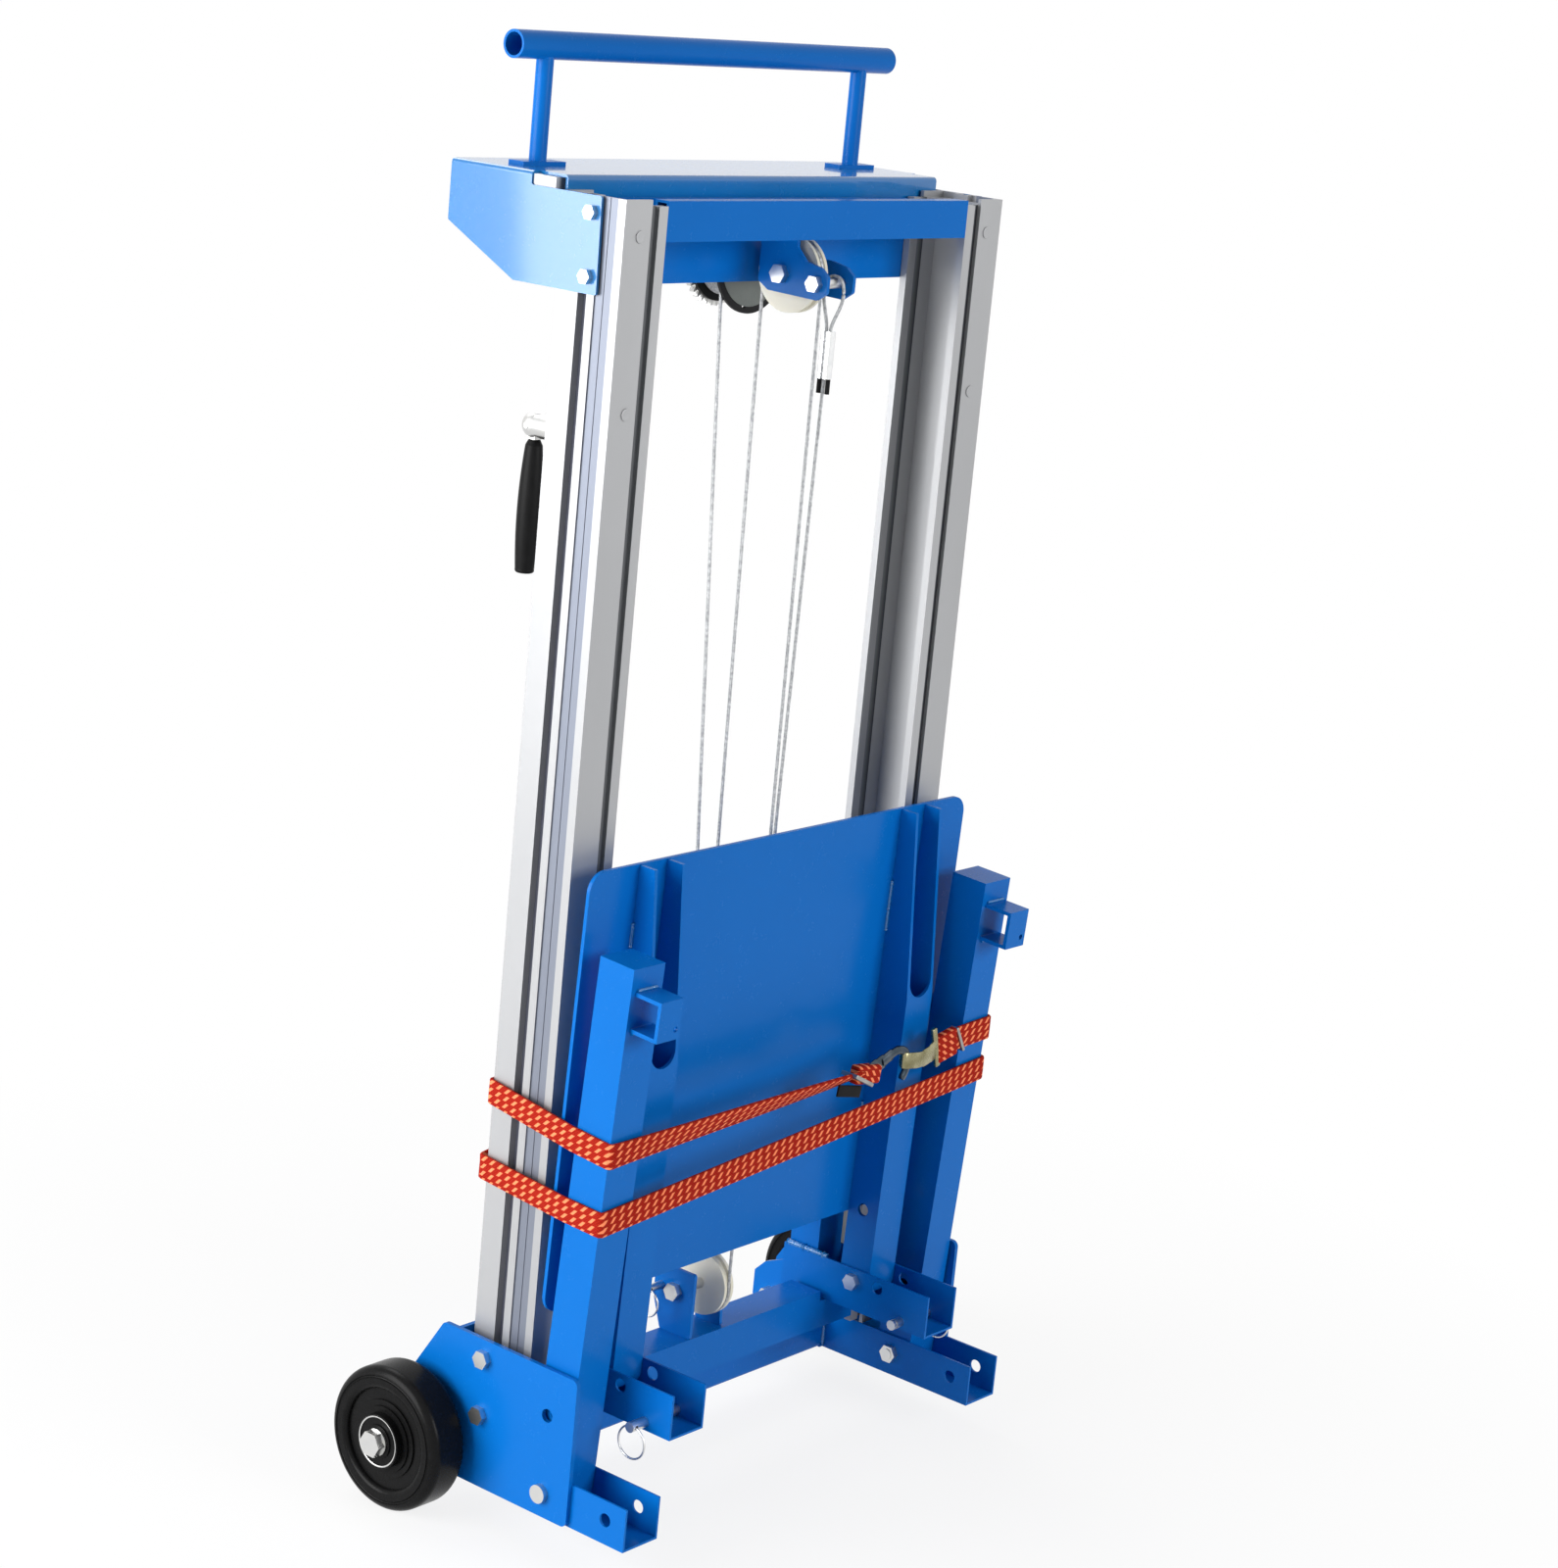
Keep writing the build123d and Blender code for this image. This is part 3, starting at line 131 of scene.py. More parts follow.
class Finish:
    """One material: its tree, its main shader and the node method."""

    def __init__(self, name):
        self.material = bpy.data.materials.new(name)
        self.material.use_nodes = True
        self.tree = self.material.node_tree
        self.shader = self.tree.nodes["Principled BSDF"]

    def node(self, kind, settings=None, inputs=None, out=0):
        made = self.tree.nodes.new(kind)
        for key, value in (settings or {}).items():
            setattr(made, key, value)
        for key, value in (inputs or {}).items():
            self.put(made.inputs[key], value)
        return Wire(self, made.outputs[out])

    def put(self, socket, value):
        if isinstance(value, Wire):
            self.tree.links.new(value.socket, socket)
        else:
            socket.default_value = value

    def set(self, **values):
        for key, value in values.items():
            self.put(self.shader.inputs[key.replace("_", " ")], value)

    def place(self, scale=(1, 1, 1)):
        where = self.node("ShaderNodeTexCoord", out="Object")
        return self.node("ShaderNodeMapping", None, {"Vector": where, "Scale": scale})

    def apart(self, vector):
        """The X and the Y of a vector."""
        split = self.node("ShaderNodeSeparateXYZ", None, {0: vector})
        return split, Wire(self, split.socket.node.outputs["Y"])

    def noise(self, scale, detail=2.0, stretch=(1, 1, 1), rough=0.5):
        inputs = {"Vector": self.place(stretch), "Scale": scale, "Detail": detail,
                  "Roughness": rough}
        return self.node("ShaderNodeTexNoise", None, inputs, "Fac")

    def blend(self, factor, first, second):
        inputs = {0: factor, 6: first, 7: second}
        return self.node("ShaderNodeMix", {"data_type": "RGBA"}, inputs, 2)

    def only(self, operation, value):
        """A sum on one value, such as its size or its sine."""
        return self.node("ShaderNodeMath", {"operation": operation}, {0: value})

    def size(self, value):
        return self.only("ABSOLUTE", value)

    def ramp(self, value, low, high):
        """Black below one value and white above another, with a slope between."""
        made = self.node("ShaderNodeValToRGB", None, {0: value})
        elements = made.socket.node.color_ramp.elements
        elements[0].position, elements[0].color = low, (0, 0, 0, 1)
        elements[1].position, elements[1].color = high, (1, 1, 1, 1)
        return made

    def bump(self, height, strength, distance):
        inputs = {"Height": height, "Strength": strength, "Distance": distance}
        self.set(Normal=self.node("ShaderNodeBump", None, inputs))


def rgb(red, green, blue):
    """A linear colour with full cover."""
    return (red, green, blue, 1.0)


print("shader sums ready")

# %% [markdown]
# The welded steel is sprayed in a glossy blue. Sprayed paint dries with a fine
# orange-peel skin, which breaks up its highlights, so the skin goes into the
# bump and a little of it into the roughness.

# %% Blue paint
def blue_paint(name, low, high, specular, coat, skin):
    paint = Finish(name)
    cloud = paint.noise(6.0, detail=3.0)
    peel = paint.noise(420.0)
    dust = paint.noise(60.0, detail=6.0, rough=0.7)
    paint.set(Base_Color=paint.blend(cloud, low, high))
    paint.set(Roughness=0.22 + 0.06 * dust + 0.03 * peel)
    paint.set(Specular_IOR_Level=specular, Coat_Weight=coat, Coat_Roughness=0.06)
    paint.bump(peel, strength=skin, distance=0.0005)
    return paint.material


BLUE = blue_paint(
    "blue_gloss_paint", rgb(0.001, 0.130, 0.48), rgb(0.002, 0.148, 0.54),
    specular=0.09, coat=0.02, skin=0.05)
HOOD_BLUE = blue_paint(
    "hood_gloss_paint", rgb(0.001, 0.155, 0.44), rgb(0.002, 0.175, 0.49),
    specular=0.45, coat=0.80, skin=0.16)
print("made", BLUE.name, HOOD_BLUE.name)

# %% [markdown]
# The masts are extruded aluminium with a pale satin skin. Extrusion draws fine
# lines along the length, so the noise is stretched along the mast. The slot, the
# shallow recess and the gap beside the inner mast get painted shade: a darker
# colour, told by place, where their faces lie in shadow.

# %% Aluminium and zinc
FACE_X, SLOT_X = 0.2886, 0.2790
SLOT_MID, SLOT_HALF = -0.01675, 0.0055
RECESS_MID, RECESS_HALF = -0.04225, 0.0105
GAP_X, GAP_HALF = 0.2477, 0.0049
SKIN_LOW, SKIN_HIGH = rgb(0.36, 0.365, 0.375), rgb(0.43, 0.435, 0.445)
# Painted shade colours for the recess, the slot and the gap, from darkest to lightest.
RECESS_PAINTED_SHADE = rgb(0.19, 0.21, 0.26)
SLOT_SHADE_DARKEST, SLOT_SHADE_LIGHTEST = rgb(0.012, 0.014, 0.024), rgb(0.16, 0.17, 0.22)
GAP_SHADE_DARKEST, GAP_SHADE_LIGHTEST = rgb(0.02, 0.024, 0.032), rgb(0.22, 0.23, 0.24)


def mast_aluminium():
    metal = Finish("mast_aluminium")
    lines = metal.noise(900.0, detail=3.0, stretch=(1, 1, 0.004))
    blotch = metal.noise(9.0, detail=4.0, stretch=(1, 1, 0.25))
    across, deep = metal.apart(metal.place())
    out = metal.size(across)
    # Where the painted shade goes: the slot, the shallow recess and the gap beside the inner
    # mast.
    below = (out < FACE_X) * (out > SLOT_X)
    slot = below * (metal.size(deep - SLOT_MID) < SLOT_HALF)
    recess = below * (metal.size(deep - RECESS_MID) < RECESS_HALF)
    gap = metal.size(out - GAP_X) < GAP_HALF
    slot_shade_fade = (deep - (SLOT_MID - SLOT_HALF)) * (1 / (2 * SLOT_HALF))
    gap_shade_fade = (GAP_X + GAP_HALF - out) * (1 / (2 * GAP_HALF))
    skin = metal.blend(blotch, SKIN_LOW, SKIN_HIGH)
    # The painted shade is blended over the aluminium's own colour, fading across the slot and
    # the gap.
    skin = metal.blend(recess, skin, RECESS_PAINTED_SHADE)
    skin = metal.blend(slot, skin, metal.blend(slot_shade_fade, SLOT_SHADE_DARKEST, SLOT_SHADE_LIGHTEST))
    skin = metal.blend(gap, skin, metal.blend(gap_shade_fade, GAP_SHADE_DARKEST, GAP_SHADE_LIGHTEST))
    metal.set(Base_Color=skin, Metallic=0.45 + 0.1 * blotch, Roughness=0.36 + 0.12 * lines)
    metal.bump(lines, strength=0.08, distance=0.0003)
    return metal.material


def zinc_plate():
    metal = Finish("zinc_plate")
    grain = metal.noise(700.0, detail=3.0)
    tint = metal.noise(90.0)
    metal.set(Base_Color=metal.blend(tint, rgb(0.60, 0.61, 0.62), rgb(0.72, 0.71, 0.68)))
    metal.set(Metallic=1.0, Roughness=0.24 + 0.14 * grain)
    metal.bump(grain, strength=0.10, distance=0.0003)
    return metal.material


ALUMINIUM, ZINC = mast_aluminium(), zinc_plate()
print("made", ALUMINIUM.name, ZINC.name)

# %% [markdown]
# Rope sheaves and glides are off-white nylon, which is slightly waxy. The wheels
# are glossy black rubber on a moulded hub, and the crank grip is black plastic.

# %% Plastics and rubber
def nylon():
    plastic = Finish("white_nylon")
    cloud = plastic.noise(40.0, detail=3.0)
    low, high = rgb(0.74, 0.70, 0.56), rgb(0.84, 0.81, 0.68)
    plastic.set(Base_Color=plastic.blend(cloud, low, high))
    plastic.set(Roughness=0.38 + 0.12 * cloud, Subsurface_Weight=0.08)
    plastic.set(Subsurface_Radius=(0.004, 0.003, 0.002))
    plastic.bump(plastic.noise(300.0), strength=0.08, distance=0.0004)
    return plastic.material


def black_rubber(name, rough, tone):
    rubber = Finish(name)
    scuff = rubber.noise(120.0, detail=6.0, rough=0.7)
    dark, worn = rgb(tone, tone, tone), rgb(tone * 2.2, tone * 2.2, tone * 2.3)
    rubber.set(Base_Color=rubber.blend(scuff, dark, worn))
    rubber.set(Roughness=rough + 0.22 * scuff, Specular_IOR_Level=0.08)
    rubber.bump(rubber.noise(900.0), strength=0.10, distance=0.0003)
    return rubber.material


NYLON = nylon()
TYRE = black_rubber("black_tyre", rough=0.16, tone=0.004)
HUB = black_rubber("black_hub", rough=0.16, tone=0.004)
GRIP = black_rubber("black_grip", rough=0.30, tone=0.005)
DRUM = black_rubber("dark_drum_paint", rough=0.30, tone=0.012)
SLEEVE = black_rubber("black_sleeve", rough=0.45, tone=0.006)
print("made", NYLON.name, TYRE.name, GRIP.name)

# %% [markdown]
# The record names a material slot for every node, so one table gives all of them
# their finish. The hood shines more in the photograph, so it gets its own blue.

# %% Give every carried node its finish
by_slot = {
    "blue_paint": BLUE, "mast_aluminium": ALUMINIUM, "zinc_steel": ZINC,
    "black_steel": DRUM, "wire_rope": ZINC, "black_sleeve": SLEEVE, "nylon": NYLON,
    "tyre_rubber": TYRE, "wheel_plastic": HUB, "grip_plastic": GRIP, "strap_weave": GRIP,
}
for part in frame["record"]["subparts"]:
    node = nodes[part["node"]]
    node.data.materials.clear()
    node.data.materials.append(by_slot[part["material_slot"]])
nodes["hood"].data.materials[0] = HOOD_BLUE
print("dressed", len(nodes), "nodes")

# %% [markdown]
# The sizes here are the lift's own millimetres, counted from the middle of the
# mast slots. The frame has its origin on the floor below the middle of the lift,
# so one small function carries a place across, and no piece needs fitting by eye.

# %% Places
MM = 1000
MIDDLE_Y, FLOOR_Z = 16.75, -8.5
UP, DOWN, FRONT, REAR = (0, 0, 1), (0, 0, -1), (0, -1, 0), (0, 1, 0)


def at(x, y, z):
    """A place in the lift's millimetres, in the frame's metres."""
    return Vector((x, y - MIDDLE_Y, z - FLOOR_Z)) / MM


print("middle of the slots", [round(c, 5) for c in at(0, 0, 0)])

# %% [markdown]
# Pieces are modelled as by hand: add a primitive, pick some of its vertices, move
# or scale them, and apply a modifier. The same few steps come back for every
# piece, so each of them gets a short name.

# %% Hand tools
SAME_PLACE = 0.00001


def added(operator, **values):
    """Deselect everything, add one primitive and return it."""
    bpy.ops.object.select_all(action="DESELECT")
    operator(**values)
    return bpy.context.active_object


def alone(piece):
    """Make one piece the only one selected."""
    bpy.ops.object.select_all(action="DESELECT")
    piece.select_set(True)
    bpy.context.view_layer.objects.active = piece


def pick(piece, rule):
    """Select the vertices that a rule on their place accepts, and open edit mode."""
    alone(piece)
    bpy.ops.object.mode_set(mode="EDIT")
    bpy.ops.mesh.select_mode(type="VERT")
    bpy.ops.mesh.select_all(action="DESELECT")
    bpy.ops.object.mode_set(mode="OBJECT")
    for vertex in piece.data.vertices:
        vertex.select = rule(vertex.co, vertex.index)
    bpy.ops.object.mode_set(mode="EDIT")


def done():
    """Leave edit mode."""
    bpy.ops.object.mode_set(mode="OBJECT")


def resized(piece, rule, value, centre=(0, 0, 0)):
    """Pick vertices by a rule and scale them about a centre."""
    pick(piece, rule)
    bpy.ops.transform.resize(value=value, center_override=centre)
    done()


def modify(piece, kind, **settings):
    """Add a modifier, set it and apply it."""
    alone(piece)
    modifier = piece.modifiers.new(kind.lower(), kind)
    for key, value in settings.items():
        setattr(modifier, key, value)
    bpy.ops.object.modifier_apply(modifier=modifier.name)


def drawn_out(piece, axis, length, steps, angle=0):
    """Draw an outline out along an axis in even steps, twisted by an angle."""
    modify(piece, "SCREW", axis=axis, angle=angle, screw_offset=length, steps=steps,
           render_steps=steps, use_merge_vertices=False)


def close_ends(piece):
    """Fill both open ends of a piece that was drawn out."""
    pick(piece, lambda place, index: False)
    bpy.ops.mesh.select_non_manifold(extend=False, use_wire=False, use_multi_face=False,
                                     use_non_contiguous=False, use_verts=False)
    bpy.ops.mesh.edge_face_add()
    done()


def settled(piece, name, finish, angle=40):
    """Bake the place into the mesh, merge doubles, name the piece and dress it."""
    alone(piece)
    bpy.ops.object.transform_apply(location=True, rotation=True, scale=True)
    bpy.ops.object.mode_set(mode="EDIT")
    bpy.ops.mesh.select_all(action="SELECT")
    bpy.ops.mesh.remove_doubles(threshold=SAME_PLACE)
    bpy.ops.mesh.normals_make_consistent(inside=False)
    bpy.ops.object.mode_set(mode="OBJECT")
    bpy.ops.object.shade_smooth_by_angle(angle=math.radians(angle))
    piece.name = name
    piece.data.materials.clear()
    piece.data.materials.append(finish)
    return piece


print("hand tools ready")

# %% [markdown]
# Every run of wire rope follows one smooth route. A Bezier route is made
# from a few knots: straight runs between sheaves, and quarter arcs round them,
# whose handles are 0.5523 of the radius, the length that gives a true arc.

# %% Routes
ARC = 0.5523
ROUTE_STEPS = 48


def route(name, knots):
    """A Bezier route from knots of place, direction, and handles before and after."""
    line = added(bpy.ops.curve.primitive_bezier_curve_add)
    line.name = name
    line.data.dimensions = "3D"
    line.data.twist_mode = "Z_UP"
    line.data.resolution_u = ROUTE_STEPS
    spline = line.data.splines[0]
    spline.bezier_points.add(len(knots) - 2)
    for point, (place, way, before, after) in zip(spline.bezier_points, knots):
        way = Vector(way).normalized()
        point.handle_left_type = point.handle_right_type = "FREE"
        point.co = place
        point.handle_left = place - way * before / MM
        point.handle_right = place + way * after / MM
    return line


def knot(place, way, before, after=None):
    """One knot: its place in the lift's millimetres, its direction and its handles."""
    return (at(*place), way, before, before if after is None else after)


def length_of(line):
    """The length of a route in metres."""
    return line.data.splines[0].calc_length(resolution=64)


def laid(piece, line, axis):
    """Lay a straight piece along a route with a Curve modifier, then drop the route."""
    modify(piece, "CURVE", object=line, deform_axis=axis)
    alone(line)
    bpy.ops.object.delete()


print("quarter arc handle", ARC)

# %% [markdown]
# The wire rope is six strands twisted round a core. It could be a smooth tube
# with a bump, but its outline is ribbed where it crosses the white behind it. So
# its section is drawn with six lobes, screwed along its length, and laid on the route.

# %% Wire rope
ROPE_R = 0.00175
ROPE_POINTS, VALLEY_EVERY, VALLEY = 24, 4, 0.74
STRAND_LAY = 0.024
ROPE_STEP = 0.002


def wire_strands():
    steel = Finish("wire_rope_steel")
    grease = steel.noise(300.0, detail=3.0)
    wires = steel.noise(2600.0)
    bright = steel.ramp(grease, 0.35, 0.7)
    steel.set(Base_Color=steel.blend(bright, rgb(0.30, 0.31, 0.32), rgb(0.56, 0.57, 0.58)))
    steel.set(Metallic=0.85, Roughness=0.30 + 0.25 * wires)
    steel.bump(wires, strength=0.25, distance=0.0004)
    return steel.material


STRANDS = wire_strands()


def wire_rope(name, knots, node):
    """Twist one straight length of rope, close its ends and lay it along its route."""
    line = route(name + "_route", knots)
    length = length_of(line)
    rope = added(bpy.ops.mesh.primitive_circle_add, vertices=ROPE_POINTS, radius=ROPE_R)
    resized(rope, lambda place, index: index % VALLEY_EVERY == 0, (VALLEY, VALLEY, 1))
    steps = round(length / ROPE_STEP)
    drawn_out(rope, "Z", length, steps, angle=math.tau * length / STRAND_LAY)
    close_ends(rope)
    laid(rope, line, "POS_Z")
    settled(rope, name, STRANDS, 70)
    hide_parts(node)
    print(name, round(length, 3), "m", len(rope.data.vertices), "vertices")
    return rope


print("made", STRANDS.name)

# %% [markdown]
# The rope leaves the drum and runs down to the lower sheave on the inner mast,
# up over the top sheave, down to the sheave on the carriage, and up again to its
# eye. A run between two bodies gets shorter as the lower body rises, so each one
# is a straight length, carried by one of the two bodies.

# %% The runs
# A sheave is its middle and the radius at which the rope lies on it.
LOW_SHEAVE = (0, -20.8, 181, 34)
TOP_SHEAVE = (0, -12.6, 1242, 37.5)
CAR_SHEAVE = (21, -4.4, 361, 32.8)
OFF_DRUM, BELOW_DRUM, HAUL_END = (0, 79.9, 1239.2), (0, 77.11, 1195), (0, 13.2, 181.4)
EYE_X, FERRULE_Y, FERRULE_LOW = 11, -55.3, 1145


def beside(sheave, side):
    """The place at the front (-1) or the rear (1) of a sheave."""
    x, y, z, r = sheave
    return (x, y + side * r, z)


def round_sheave(sheave, side, reach):
    """Three knots round a sheave, under it from the rear (-1) or over it from the front (1)."""
    x, y, z, r = sheave
    way, over, back = (DOWN, FRONT, UP) if side < 0 else (UP, REAR, DOWN)
    return [
        knot(beside(sheave, -side), way, reach, ARC * r),
        knot((x, y, z + side * r), over, ARC * r),
        knot(beside(sheave, side), back, ARC * r, reach),
    ]


def straight_run(name, top, low, node, body):
    """A straight run from its upper to its lower place, carried by one body."""
    way = Vector(low) - Vector(top)
    run = wire_rope(name, [knot(top, way, 10), knot(low, way, 10)], node)
    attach(run, body)
    at(*top)
    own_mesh(run)


leave = Vector(HAUL_END) - Vector(OFF_DRUM)
haul_top = wire_rope(
    "rope_haul_top", [knot(OFF_DRUM, leave, 8), knot(BELOW_DRUM, leave, 8)], "rope_haul")
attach(haul_top, "base")
straight_run("rope_haul_strands", BELOW_DRUM, HAUL_END, "rope_haul", "base")
mast_run = wire_rope(
    "rope_mast_strands",
    round_sheave(LOW_SHEAVE, -1, reach=120) + round_sheave(TOP_SHEAVE, 1, reach=120),
    "rope_mast_run")
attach(mast_run, "inner_mast")
straight_run("rope_fall_strands", beside(TOP_SHEAVE, 1), beside(CAR_SHEAVE, 1),
             "rope_fall", "inner_mast")
straight_run("rope_fall_front", (EYE_X, FERRULE_Y, FERRULE_LOW), beside(CAR_SHEAVE, -1),
             "rope_fall", "inner_mast")
bend = wire_rope("rope_fall_bend", round_sheave(CAR_SHEAVE, -1, reach=5), "rope_fall")
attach(bend, "carriage")

# %% [markdown]
# The end of the rope goes round the anchor bolt in an eye, whose two legs are
# pressed into the ferrule. On the drum it lies in one neat layer of turns.

# %% Eye and winding
FERRULE_TOP, LEG_APART = 1190, 2.4
EYE_Y, EYE_HALF, EYE_SIDE, EYE_TOP = -57.5, 12.2, 1228, 1245.2
DRUM_X, DRUM_Z, WIND_R, WIND_PITCH, WIND_Y, TURNS = 38, 1243, 38, 4.1, 80, 7
eye = wire_rope("rope_eye_strands", [
    knot((EYE_X, FERRULE_Y + LEG_APART, FERRULE_TOP), UP, 5, 12),
    knot((EYE_X, EYE_Y + EYE_HALF, EYE_SIDE), UP, 14, 11),
    knot((EYE_X, EYE_Y, EYE_TOP), FRONT, 8),
    knot((EYE_X, EYE_Y - EYE_HALF, EYE_SIDE), DOWN, 11, 14),
    knot((EYE_X, FERRULE_Y - LEG_APART, FERRULE_TOP), DOWN, 12, 5),
], "rope_eye")
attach(eye, "inner_mast")


def on_drum(quarter):
    """A knot of the winding after some quarter turns."""
    angle = math.pi - quarter * math.pi / 2
    across, high = WIND_R * math.cos(angle), WIND_R * math.sin(angle)
    place = (DRUM_X + across, WIND_Y + WIND_PITCH * quarter / 4, DRUM_Z + high)
    return knot(place, (high, WIND_PITCH / math.tau, -across), ARC * WIND_R)


quarters = range(4 * TURNS + 1)
winding = wire_rope("rope_winding_strands", [on_drum(q) for q in quarters], "rope_winding")
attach(winding, "drum")

# %% [markdown]
# The strap is a flat braid of orange-red yarn with pale tracer yarns that show as
# short slanted dashes. The braid is drawn on its own map, which is made while the
# band is still straight: along it in one direction and across it in the other.

# %% Braid
DASH_PITCH, DASH_ROW, ROW_START, DASH_SLANT = 12.0, 7.6, 0.21, 0.9
TWILL_SLANT, TWILL_RATE = 1.1, 2.0
RED_LOW, RED_HIGH, TRACER = (
    rgb(0.26, 0.005, 0.0015), rgb(0.44, 0.015, 0.003), rgb(1.0, 0.28, 0.12))


def braid():
    yarn = Finish("strap_braid")
    along, across = yarn.apart(yarn.node("ShaderNodeUVMap", {"uv_map": "braid"}))
    row = yarn.only("FLOOR", across * (1 / DASH_ROW) + ROW_START)
    off_row = across - (row - ROW_START + 0.5) * DASH_ROW
    off_dash = (along + off_row * DASH_SLANT) % DASH_PITCH - DASH_PITCH / 2
    wide = yarn.ramp(1.0 - yarn.size(off_dash) * 0.4, 0.05, 0.35)
    dash = wide * yarn.ramp(1.0 - yarn.size(off_row) * 0.3, 0.05, 0.3)
    twill = yarn.only("SINE", (along + across * TWILL_SLANT) * TWILL_RATE)
    cross = yarn.only("SINE", (along - across * TWILL_SLANT) * TWILL_RATE)
    height = twill * 0.5 + cross * 0.5
    fluff = yarn.noise(1500.0, detail=3.0)
    shade = yarn.ramp(height * 0.35 + fluff * 0.5 + 0.25, 0.2, 0.8)
    red = yarn.blend(shade, RED_LOW, RED_HIGH)
    yarn.set(Base_Color=yarn.blend(dash, red, TRACER))
    yarn.set(Roughness=0.70 + 0.2 * fluff, Specular_IOR_Level=0.15)
    yarn.bump(height * 0.4 + dash * 0.8 + fluff * 0.3, strength=0.5, distance=0.0009)
    return yarn.material


def map_braid(piece):
    """Map the braid in millimetres along X and Z."""
    layer = piece.data.uv_layers.new(name="braid")
    for loop in piece.data.loops:
        place = piece.data.vertices[loop.vertex_index].co
        layer.data[loop.index].uv = (place.x * MM, place.z * MM)


BRAID = braid()
print("made", BRAID.name)

# %% [markdown]
# The strap goes twice round the legs and the masts. Its route is a list of
# corners, each taken from the face that the strap lies on. The legs lean, so
# their front face is worked out for each height.

# %% Strap route
LEG_Y, LEG_Z, LEG_HALF, LEG_LEAN = -90, 56, 22, math.radians(3.44)
LEG_OUT, LEG_DEEP = 301.2, 46
MAST_OUT, MAST_REAR, LAYER = 292.0, 35.4, 4.8
STRAP_OFF, STRAP_HALF, STRAP_BEND = 2.6, 13, 4.0
SHORT = 5


def leg_front(z):
    """Front face of the leaning legs at a height."""
    return LEG_Y - (z - LEG_Z) * math.tan(LEG_LEAN) - LEG_HALF / math.cos(LEG_LEAN)


def leg_corner(side, z):
    """A corner at the front of a leg."""
    return (side * LEG_OUT, leg_front(z + STRAP_HALF) - STRAP_OFF, z)


def leg_back(side, z):
    """A corner at the rear of a leg."""
    return (side * LEG_OUT, leg_front(z + STRAP_HALF) + LEG_DEEP, z)


def mast_corner(side, z, layer=0):
    """A corner behind a mast, further back where the strap crosses itself."""
    return (side * MAST_OUT, MAST_REAR + LAYER * layer, z)


def rounded(corners, bend):
    """Knots along straight runs with an arc of one radius at each corner."""
    places = [Vector(c) for c in corners]
    knots = [knot(places[0], places[1] - places[0], SHORT)]
    for before, corner, after in zip(places, places[1:], places[2:]):
        way_in, way_out = (corner - before).normalized(), (after - corner).normalized()
        angle = way_in.angle(way_out)
        cut = bend * math.tan(angle / 2)
        handle = bend * 4 / 3 * math.tan(angle / 4)
        knots.append(knot(corner - way_in * cut, way_in, SHORT, handle))
        knots.append(knot(corner + way_out * cut, way_out, handle, SHORT))
    knots.append(knot(places[-1], places[-1] - places[-2], SHORT))
    return knots


corners = [
    (76, leg_front(428) - STRAP_OFF, 428),
    leg_corner(-1, 420), leg_back(-1, 424), mast_corner(-1, 436),
    mast_corner(1, 403), leg_back(1, 396), leg_corner(1, 393),
    leg_corner(-1, 349), leg_back(-1, 351), mast_corner(-1, 356, 1),
    mast_corner(1, 443, 1), leg_back(1, 442), leg_corner(1, 440),
    (230, leg_front(437) - STRAP_OFF, 437),
]
print("strap corners", len(corners))

# %% [markdown]
# A band could be extruded face by face round every corner. Here its section is
# swept straight, mapped, and then laid along the route with a small arc at each
# corner, which keeps the map even. The real strap comes off before the lift
# unfolds, and this one is carried by the base.

# %% Strap
STRAP_W, STRAP_T, STRAP_STEP = 0.026, 0.0044, 0.0025
STRAP_TWIST = math.radians(-60)
BAND_POINTS, OFF_MIDDLE = 16, 0.0001


def band(length, width, thick, step):
    """A straight flat band with round edges, along X from the origin, with its map."""
    made = added(bpy.ops.mesh.primitive_circle_add, vertices=BAND_POINTS, radius=thick / 2,
                 rotation=(0, math.pi / 2, 0))
    bpy.ops.object.transform_apply(rotation=True)
    for sign in (-1, 1):
        pick(made, lambda place, index: place.z * sign > OFF_MIDDLE)
        bpy.ops.transform.translate(value=(0, 0, sign * (width - thick) / 2))
        done()
    drawn_out(made, "X", length, round(length / step))
    close_ends(made)
    map_braid(made)
    return made


def flattened(piece):
    """Attach a piece of the strap to the base and give it a mesh of its own."""
    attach(piece, "base")
    at(0, 37, 400)
    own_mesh(piece)


line = route("strap_route", rounded(corners, STRAP_BEND))
line.data.splines[0].bezier_points[0].tilt = STRAP_TWIST
strap_len = length_of(line)
strap = band(strap_len, STRAP_W, STRAP_T, STRAP_STEP)
laid(strap, line, "POS_X")
settled(strap, "strap_braided", BRAID, 60)
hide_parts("strap")
flattened(strap)
print("strap", round(strap_len, 3), "m", len(strap.data.vertices), "vertices")

# %% [markdown]
# Two hooks join the ends of the strap. The left one is a bar of round-edged steel
# bent into a J; the right one is a yellow-plated strip that tapers and curls round
# it. A bar is drawn straight, like the strap, and then bent along its own route.

# %% Hooks
HOOK_Y = -138.6
J_Y = HOOK_Y - 1
BAR_STEP, NARROW = 0.0015, 0.010
TIPS = ((0.0028, 0.82), (0.0012, 0.6))


def plated(name, low, high, rough):
    metal = Finish(name)
    grain = metal.noise(500.0, detail=3.0)
    tint = metal.noise(70.0, detail=3.0)
    metal.set(Base_Color=metal.blend(metal.ramp(tint, 0.3, 0.7), low, high))
    metal.set(Metallic=1.0, Roughness=rough + 0.12 * grain)
    metal.bump(grain, strength=0.08, distance=0.0003)
    return metal.material


